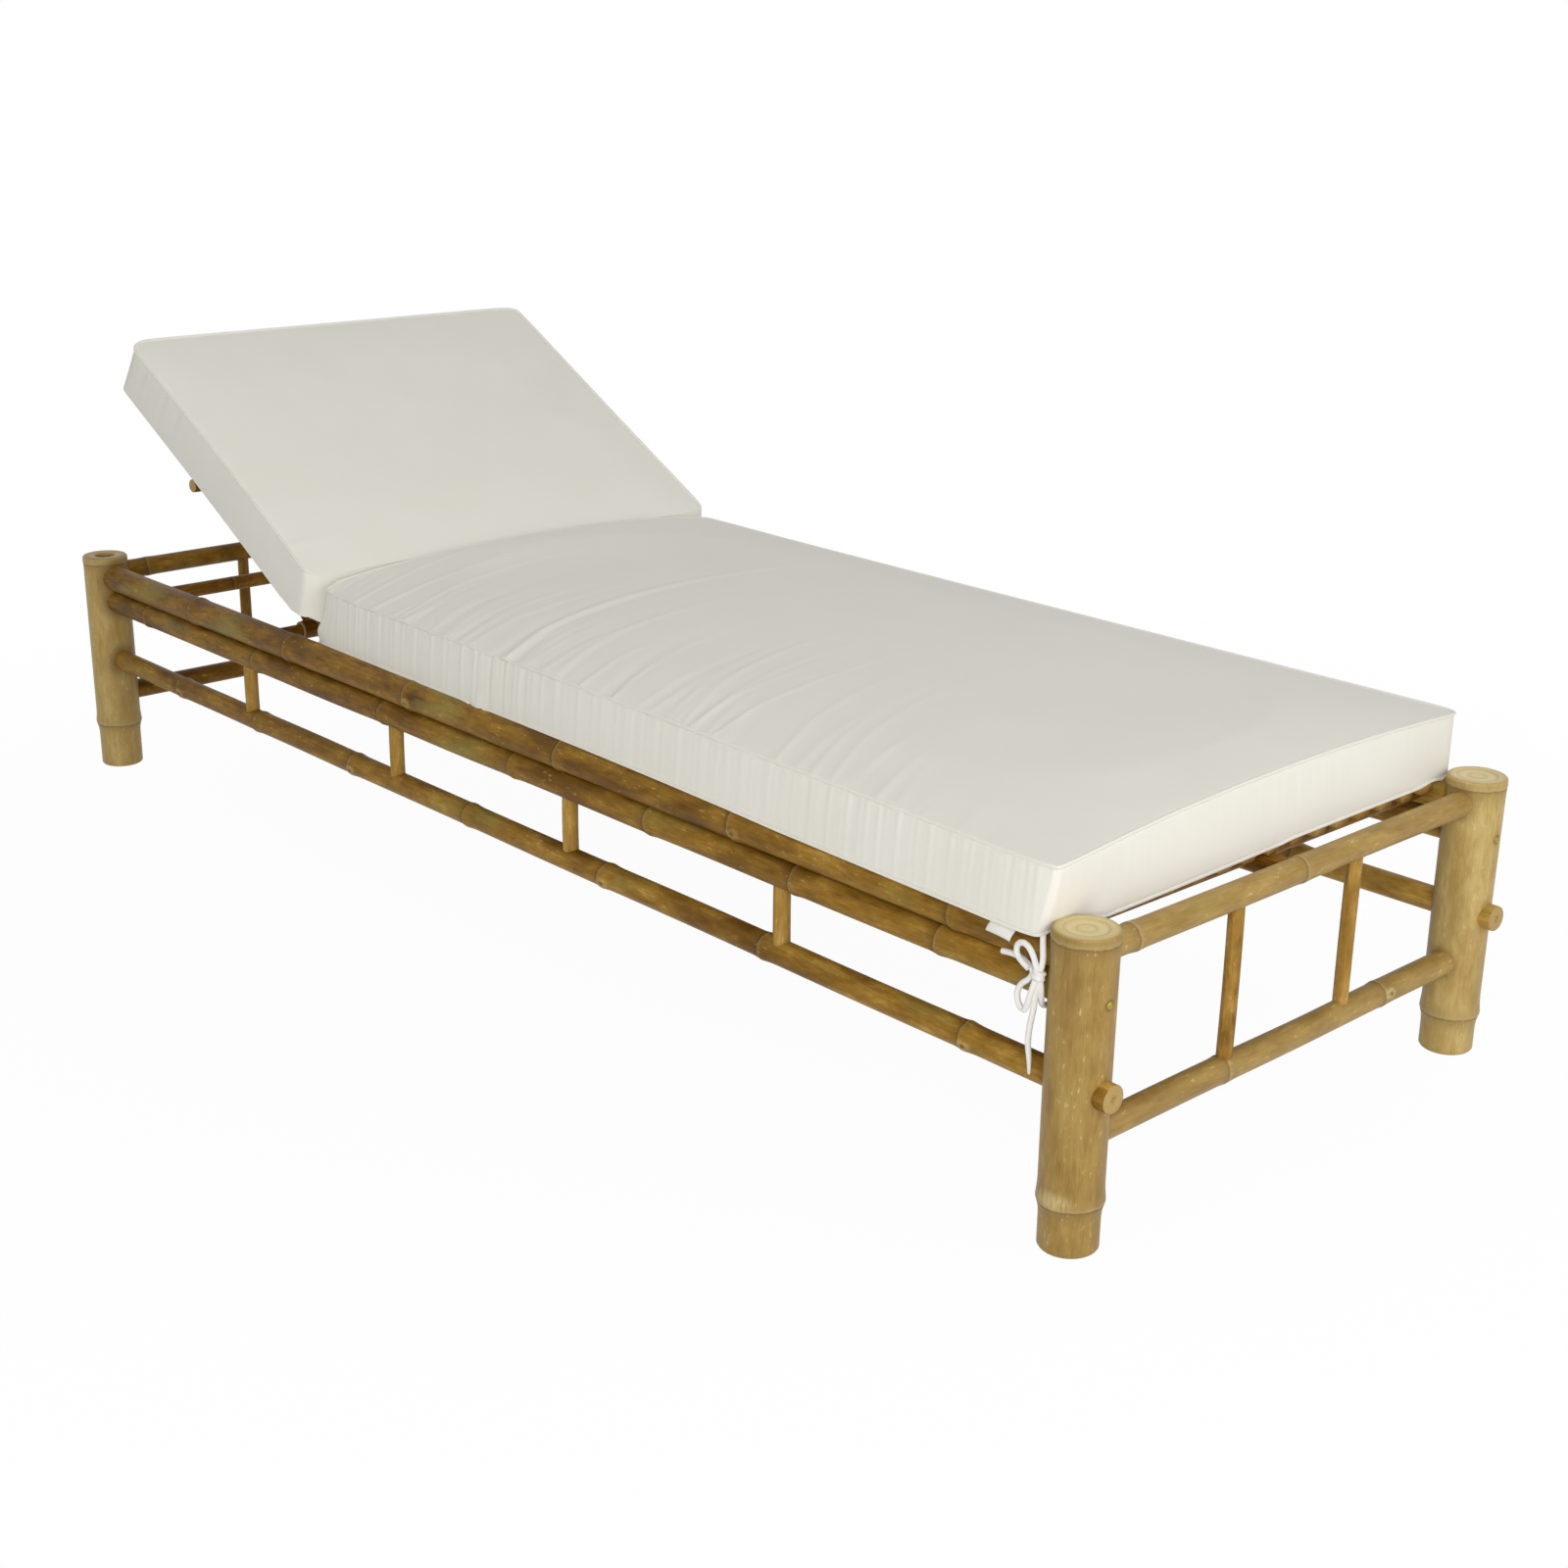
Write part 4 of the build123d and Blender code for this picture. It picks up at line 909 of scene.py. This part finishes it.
def seat_cushion():
    """Seat cushion, lying a little askew, with gathers on its boxing and folds running in from the near seam.

    Its rear end is squeezed up against the back cushion, and its near foot corner leans out over the post.
    """
    rear_near, foot_near, foot_far, rear_far = (-371, -325), (935, -359), (932, 355), (-372, 366)

    def pulled(a, b):
        corner = by_ends(b, 0.02)
        return (5.0 * np.sin(np.pi * b) + 5.0 * corner) * (1 - a) ** 24 - 3.0 * corner * a ** 24

    def crown(x, y):
        across = arch(y, 5, 360.0)
        squeezed = bell(x, -371, 110.0) * arch(y, 20, 347.0) ** 0.65
        foot = bell(x, 935, 180.0) * arch(y, 0, 352.0)
        swell = 8.0 * across + 5.0 * arch(x, 281, 655.0) * across
        return 387.5 + swell + 20.0 * squeezed + 3.0 * ramp(y, 0, 350) + 5.0 * foot

    cells, rows = (130, 60), 9
    sides = edge_line(rear_near, foot_near, 4.0), edge_line(rear_far, foot_far, -4.0)
    points, quads, level = box_cushion(*sides, pulled, under_seat, crown, cells, rows)
    rounded_corner(points, foot_far, (-1, -1), 18.0)
    x, y, z = points.T
    high = ramp(z - DECK, 0, 67)
    x += 15.0 * ramp(x, 600, 930) ** 2 * ramp(y, 355, -359) * high ** 0.5
    # the foot boxing is drawn in at its top and hangs over the slats' ends between the posts
    end = ramp(x, 800, 935) ** 8
    x -= 6.5 * end * high * arch(y, 0, 352)
    hanging = end * ramp(np.abs(y), 296, 280) * ramp(high, 0.25, 0)
    x += 5.0 * hanging
    z -= 5.5 * hanging * (x > PAST_SLATS)
    y -= 6.0 * ramp(y, 0, -330) ** 8 * (1 - high)
    thing = mesh_object("seat_cushion_cover", points, [quads])
    shape = filled(thing, level[:, [0, rows]]) / MM
    shape[:, 0] = np.maximum(shape[:, 0], -376.0)
    shape[:, 2] = np.maximum(shape[:, 2], under_seat(shape[:, 0], shape[:, 1]) - 0.1)
    set_points(thing, shape)
    points, normals, seam = subdivided(thing, level, cells)
    x, y, z = points.T
    rng = np.random.default_rng(7)
    # each fold: its place on the near seam, bow, length, width and height
    lines = [(77, 0.00066, 720, 6.0, 3.4), (92, 0.00066, 560, 8.0, -2.2), (60, 0.00066, 520, 8.0, -1.8)]
    for start in np.sort(rng.uniform(-340, 860, 110)):
        strong = 1.0 if start < 700 else 0.5
        bow, length, width = rng.uniform(0.0003, 0.0008), rng.uniform(130, 640), rng.uniform(2.8, 6.5)
        lines.append((start, bow, length * strong, width, rng.uniform(-1.2, 1.8) * strong))
    height = ramp(z, DECK, 387)
    run = np.where(np.abs(normals[:, 1]) > np.abs(normals[:, 0]), x, y)
    pleats = gathers(run, height, rng, (9.3, 14.0, 23.0, 41.0))
    pleats *= np.where(normals[:, 0] > 0.5, 0.3, 0.9 - 0.4 * ramp(x, 150, 650))
    rise = folds(x, y, lines) * ramp(normals[:, 2], 0.55, 0.85)
    rise += 0.6 * pleats * ramp(np.abs(normals[:, 2]), 0.75, 0.45)
    rise -= seam * (0.8 + 1.8 * height)
    points = points + normals * rise[:, None]
    # a fold of the cover hangs out under the near edge, and the rear corner bulges out under the back cushion
    hung = bell(x, 8, 13.0) * ramp(y, -318, -330) * ramp(z, 342, 324)
    points += hung[:, None] * (0.0, -4.0, -7.0)
    bulge = 8.0 * ramp(z, 350, 385) - 16.0 * bell(z, 331, 16.0)
    points[:, 0] += bulge * bell(y, -325, 26.0) * bell(x, -371, 34.0)
    set_points(thing, points)
    finish_piece(thing, "frame", "cushion_fabric", "seat_cushion")
    for name, seam, lean, size in (("top", level[:, rows], 1.0, 2.6), ("low", level[:, 0], 0.15, 2.0)):
        size = np.full(len(seam), size)
        welt(f"seat_{name}_seam", points[seam], normals[seam] * (1, 1, lean), size, "frame")


def back_cushion():
    """Back cushion on the raised backrest. Its lower end stands upright against the seat cushion.

    Made flat with its length along the deck, then turned up; a blend along its length shears the lower end
    upright.
    """
    low_y, high_y = (-333.0, 364.0), (-340.0, 345.0)
    hinge_x, head_x = HINGE[0], HINGE[0] - 582.0
    tilt = math.radians(REST_ANGLE)

    def pulled(a, b):
        corner = by_ends(b, 0.02)
        return (4.0 * np.sin(np.pi * b) + 5.0 * corner) * a ** 20 - 8.0 * corner * (1 - a) ** 20

    def underside(x, y):
        return np.full(x.shape, ON_DECK)

    def crown(x, y):
        return 388.0 + 3.0 * arch(y, 3, 335.0) + 2.0 * arch(x, hinge_x - 283, 283.0)

    cells, rows = (56, 60), 9
    sides = (edge_line((hinge_x, low), (head_x, high), draw)
             for low, high, draw in zip(low_y, high_y, (3.0, -3.0)))
    points, quads, level = box_cushion(*sides, pulled, underside, crown, cells, rows)
    # the near side's low seam stands out, and the lower end is sheared to stand upright at rest
    x, y, z = points.T
    y -= ramp(y, 0, -330) ** 8 * (6.0 * ramp(z, 388, 320) - 1.0)
    rounded_corner(points, (head_x, high_y[0]), (1, 1), 30.0)
    rounded_corner(points, (hinge_x, low_y[0]), (-1, 1), 26.0)
    lower = 1 - ramp(x, hinge_x, head_x)
    x -= (z - HINGE[1]) * math.tan(tilt) * lower ** 3 + 5.0 * lower ** 6
    thing = mesh_object("back_cushion_cover", lifted(points), [quads[:, ::-1]])
    flat = lifted(filled(thing, level[:, [0, rows]]) / MM, -REST_ANGLE)
    shape = lifted(np.maximum(flat, [-np.inf, -np.inf, DECK + 0.3]))
    shape[:, 0] = np.where(shape[:, 2] < 402, np.minimum(shape[:, 0], -377.0), shape[:, 0])
    set_points(thing, shape)
    points, normals, seam = subdivided(thing, level, cells)
    x, y, z = lifted(points, -REST_ANGLE).T
    rng = np.random.default_rng(17)
    lines = [(hinge_x - rng.uniform(40, 540), rng.uniform(-0.0001, 0.0001), rng.uniform(60, 240),
              rng.uniform(5, 11), rng.uniform(-0.5, 0.7)) for _ in range(24)]
    face = normals @ np.array([math.sin(tilt), 0, math.cos(tilt)])
    run = np.where(np.abs(normals[:, 1]) > 0.7, x, y)
    rise = folds(x, y, lines) * ramp(face, 0.55, 0.85)
    rise += 0.22 * gathers(run, ramp(z, DECK, 387), rng, (21.0, 33.0, 57.0)) * ramp(np.abs(face), 0.75, 0.45)
    shown = ramp(hinge_x - x, 62, 82)
    points = points + normals * (rise - 2.4 * seam * shown)[:, None]
    # the lower corner on the near side is rounded off and lies on the seat cushion's bulge
    corner = bell(y, -333, 38.0) * bell(hinge_x - x, 25, 40.0) * ramp(z, 372, 322)
    points += corner[:, None] * (-3.4, 0.0, 18.0)
    set_points(thing, points)
    finish_piece(thing, None, "cushion_fabric", "back_cushion")
    for name, row, size in (("top", rows, 0.4 + 2.1 * shown), ("low", 0, np.full(len(shown), 1.5))):
        seam = level[:, row]
        welt(f"back_{name}_seam", points[seam], normals[seam], size[seam])


# Tie

CORD_R = 0.003  # in metres
TIE_TAIL = [
    (921, -339, 327), (932, -352.5, 317.5), (939, -360, 307), (942, -362, 295), (939, -363, 281),
    (936.5, -364, 262), (935, -364, 243), (930.5, -363, 225), (927.5, -361, 206), (928.5, -358.5, 189),
    (928, -357, 173),
]
TIE_WRAP = [
    (928, -308.4, 322), (929, -308, 303), (930, -308.5, 285), (931, -310, 268), (931.5, -316, 252),
    (932, -328, 242.5), (932.5, -343, 241), (936.5, -355, 247.5), (941.5, -361.5, 261), (941, -363, 276),
    (937, -366, 289), (934, -367, 300), (926, -367, 308.5), (915.5, -366, 307.5), (910.5, -365, 298),
    (916, -365.5, 289.5), (928, -366, 284.5),
]
TIE_LOOP = [
    (937.5, -366.5, 276), (934.5, -368.5, 263), (931, -368, 250), (926, -366.5, 240), (918, -365.5, 243.5),
    (914.5, -365.5, 255), (919, -365, 266), (928.5, -363.5, 273), (931, -361, 281.5), (917, -359, 287.5),
    (903, -358.5, 289.5), (889, -359, 287.5),
]


def tie_cord(node, route, thin):
    """Cotton cord on one smooth curve through its route, at full thickness but for its last points."""
    curve = configured(bpy.data.curves.new(f"{node}_line", "CURVE"), dimensions="3D", bevel_depth=CORD_R,
                       bevel_resolution=4, use_fill_caps=True, resolution_u=8)
    spline = curve.splines.new("NURBS")
    spline.points.add(len(route) - 1)
    for point, place, share in zip(spline.points, route, [1.0] * (len(route) - len(thin)) + thin):
        configured(point, co=(*(np.array(place) * MM), 1.0), radius=share)
    configured(spline, order_u=3, use_endpoint_u=True)
    return finish_piece(placed(f"{node}_line", curve), "frame", "tie_fabric", node)


def curve_length(thing):
    """Length of a curve in metres, along its own line."""
    line = thing.copy()
    line.data = thing.data.copy()
    line.data.bevel_depth = 0
    mesh = bpy.data.meshes.new_from_object(line)
    points = read_rows(mesh.vertices, "co")
    bpy.data.objects.remove(line)
    bpy.data.meshes.remove(mesh)
    return float(np.linalg.norm(np.diff(points, axis=0), axis=1).sum())


def build_tie():
    """The three cords of the tie and the knot that holds them."""
    rings, around = 25, 32
    lat, lon = np.linspace(0.06, np.pi - 0.06, rings)[:, None], angles(around)
    # lump 1 + 0.13 cos(6.4 lat + lon): the wraps of the knot wind round it
    lump = 1 + 0.13 * np.cos(3.2 * lat * 2 + lon)
    ball = [7.2 * np.sin(lat) * np.cos(lon), 6.0 * np.sin(lat) * np.sin(lon), -7.0 * np.cos(lat) + 0 * lon]
    shape = np.stack(ball, -1) * lump[..., None] + (938.5, -363.5, 280.5)
    knot = mesh_object("tie_knot_wraps", shape, tube_faces(rings, around))
    finish_piece(knot, "frame", "tie_fabric", "tie_knot")
    for name, route, thin, far_end, lay, pieces in (
            ("tail", TIE_TAIL, [0.85, 0.5], "bare", "hanging", [knot]),
            ("wrap", TIE_WRAP, [], "knot", "taut", []), ("loop", TIE_LOOP, [], "bare", "hanging", [])):
        cord = tie_cord(f"tie_cord_{name}", route, thin)
        curve_length(cord)


def screws():
    """Four screw heads in the posts' outer faces: a shallow dome with a cross recess, on a short shank."""
    around = 32
    radii = np.array([0.2, 0.6, 1.0, 1.5, 2.0, 2.6, 3.3, 3.9, 4.3, 4.3, 2.2, 2.2, 0.2])[:, None]
    depth = np.array([0.0, 0.0, 0.0, 0.05, 0.1, 0.2, 0.35, 0.6, 1.0, 2.4, 2.6, 40.0, 40.0])[:, None]
    turn = angles(around)
    cross = np.abs(np.cos(2 * turn)) ** 6
    sunk = depth + 0.9 * cross * ramp(radii, 2.8, 0) * (depth < 0.5)
    face = POST_X + POST_R + 1.3
    points, faces = [], []
    for end in ENDS.values():
        for side in SIDES.values():
            faces += [block[:, ::-1] + len(points) * sunk.size for block in tube_faces(len(radii), around)]
            points.append(np.stack([end * (face - sunk), side * POST_Y + radii * np.cos(turn) * end,
                                    MIDDLE[0] + radii * np.sin(turn)], -1))
    thing = mesh_object("post_screw_heads", np.concatenate(points), faces)
    finish_piece(thing, "frame", "screw_brass", "post_screws")


def blank_tab():
    """Small sewn tab, left blank, hanging from the low seam beside the tie: a thin curled strip."""
    rows, columns = 14, 10
    u, v = np.meshgrid(np.linspace(0, 1, rows), np.linspace(0, 1, columns), indexing="ij")
    x = 874 + 30 * u - 6 * v
    y = -358.0 - 3.5 * np.sin(v * 2.2) - 1.0 * np.sin(u * 4)
    z = 316.5 - 14 * v - 3 * u + 1.5 * np.sin(u * 3)
    thing = mesh_object("blank_tab", np.stack([x, y, z], -1), grid_faces(rows, columns, (0, 0))[:1])
    thing.modifiers.new("Cloth thickness", "SOLIDIFY").thickness = 0.0005
    finish_piece(thing, "frame", "tie_fabric")


build_frame()
slat_row("seat_slats", "frame", *SEAT_SLATS, 60)
screws()
build_backrest()
build_prop()
seat_cushion()
back_cushion()
build_tie()
blank_tab()


# Studio, in metres

FLOOR = 40000.0  # half of its side, in millimetres
LAMPS = (("key", (3.2, -2.9, 2.0), 2.4, 84), ("fill", (4.2, 0.4, 1.6), 2.2, 32),
         ("overhead", (0.7, 0.3, 4.2), 3.0, 17))   # place, size and watts of each
LAMP_AIM = (0.1, 0, 0.3)
EYE = (2.1606, -1.8256, 1.1149)
EYE_TURN = (47.09, 18.99, 0.82)  # azimuth, elevation and roll in degrees


def seen_directly(tree):
    """1 for a ray that reaches the eye straight, by a mirror or through glass, and else 0."""
    seen = add(tree, "LightPath", out="Is Camera Ray")
    for kind in ("Is Glossy Ray", "Is Transmission Ray"):
        seen = add(tree, "Math", (seen, add(tree, "LightPath", out=kind)), operation="MAXIMUM")
    return seen


def studio():
    """Pale floor and backdrop, soft lights from the camera's side, and the camera where the photo's was."""
    corners = [(FLOOR * x, FLOOR * y, 0) for x, y in ((-1, -1), (1, -1), (1, 1), (-1, 1))]
    floor = mesh_object("floor", corners, [[(0, 1, 2, 3)]])
    made, tree, shader = material("Studio floor")
    plug(tree, shader, {"Base Color": linear("#f2f2f2"), "Roughness": 0.9})
    # white to the eye, with the object's soft shadow kept near it
    reach = add(tree, "VectorMath", (add(tree, "TexCoord", out="Object"),), "Value", operation="LENGTH")
    share = add(tree, "MapRange", (reach, 0.8, 2.0, 0.96))
    share = add(tree, "Math", (seen_directly(tree), share), operation="MULTIPLY")
    white = add(tree, "Emission", {"Strength": 1.0})
    both = add(tree, "MixShader", (share, shader.outputs[0], white))
    plug(tree, tree.nodes["Material Output"], {"Surface": both})
    floor.data.materials.append(made)
    scene.world = bpy.data.worlds.new("Studio")
    scene.world.use_nodes = True
    tree = scene.world.node_tree
    power = add(tree, "MapRange", (seen_directly(tree), 0.0, 1.0, 0.42))
    plug(tree, tree.nodes["Background"], {"Strength": power, "Color": (1, 1, 1, 1)})
    for name, place, size, watts in LAMPS:
        lamp = configured(bpy.data.lights.new(name, "AREA"), size=size, energy=watts)
        aim = (Vector(LAMP_AIM) - Vector(place)).to_track_quat("-Z", "Y").to_euler()
        configured(placed(name, lamp), location=place, rotation_euler=aim)
    camera = configured(bpy.data.cameras.new("camera"), sensor_width=36.0, lens=50.93, clip_end=200)
    azimuth, elevation, roll = np.radians(EYE_TURN)
    level = np.cos(elevation)
    back = np.array([np.sin(azimuth) * level, -np.cos(azimuth) * level, np.sin(elevation)])
    right = unit(np.cross([0, 0, 1], back))
    up = np.cross(back, right)
    pose = np.eye(4)
    pose[:3, 0] = np.cos(roll) * right + np.sin(roll) * up
    pose[:3, 1] = np.cos(roll) * up - np.sin(roll) * right
    pose[:3, 2] = back
    pose[:3, 3] = EYE
    scene.camera = placed("camera", camera)
    scene.camera.matrix_world = Matrix(pose.tolist())


studio()
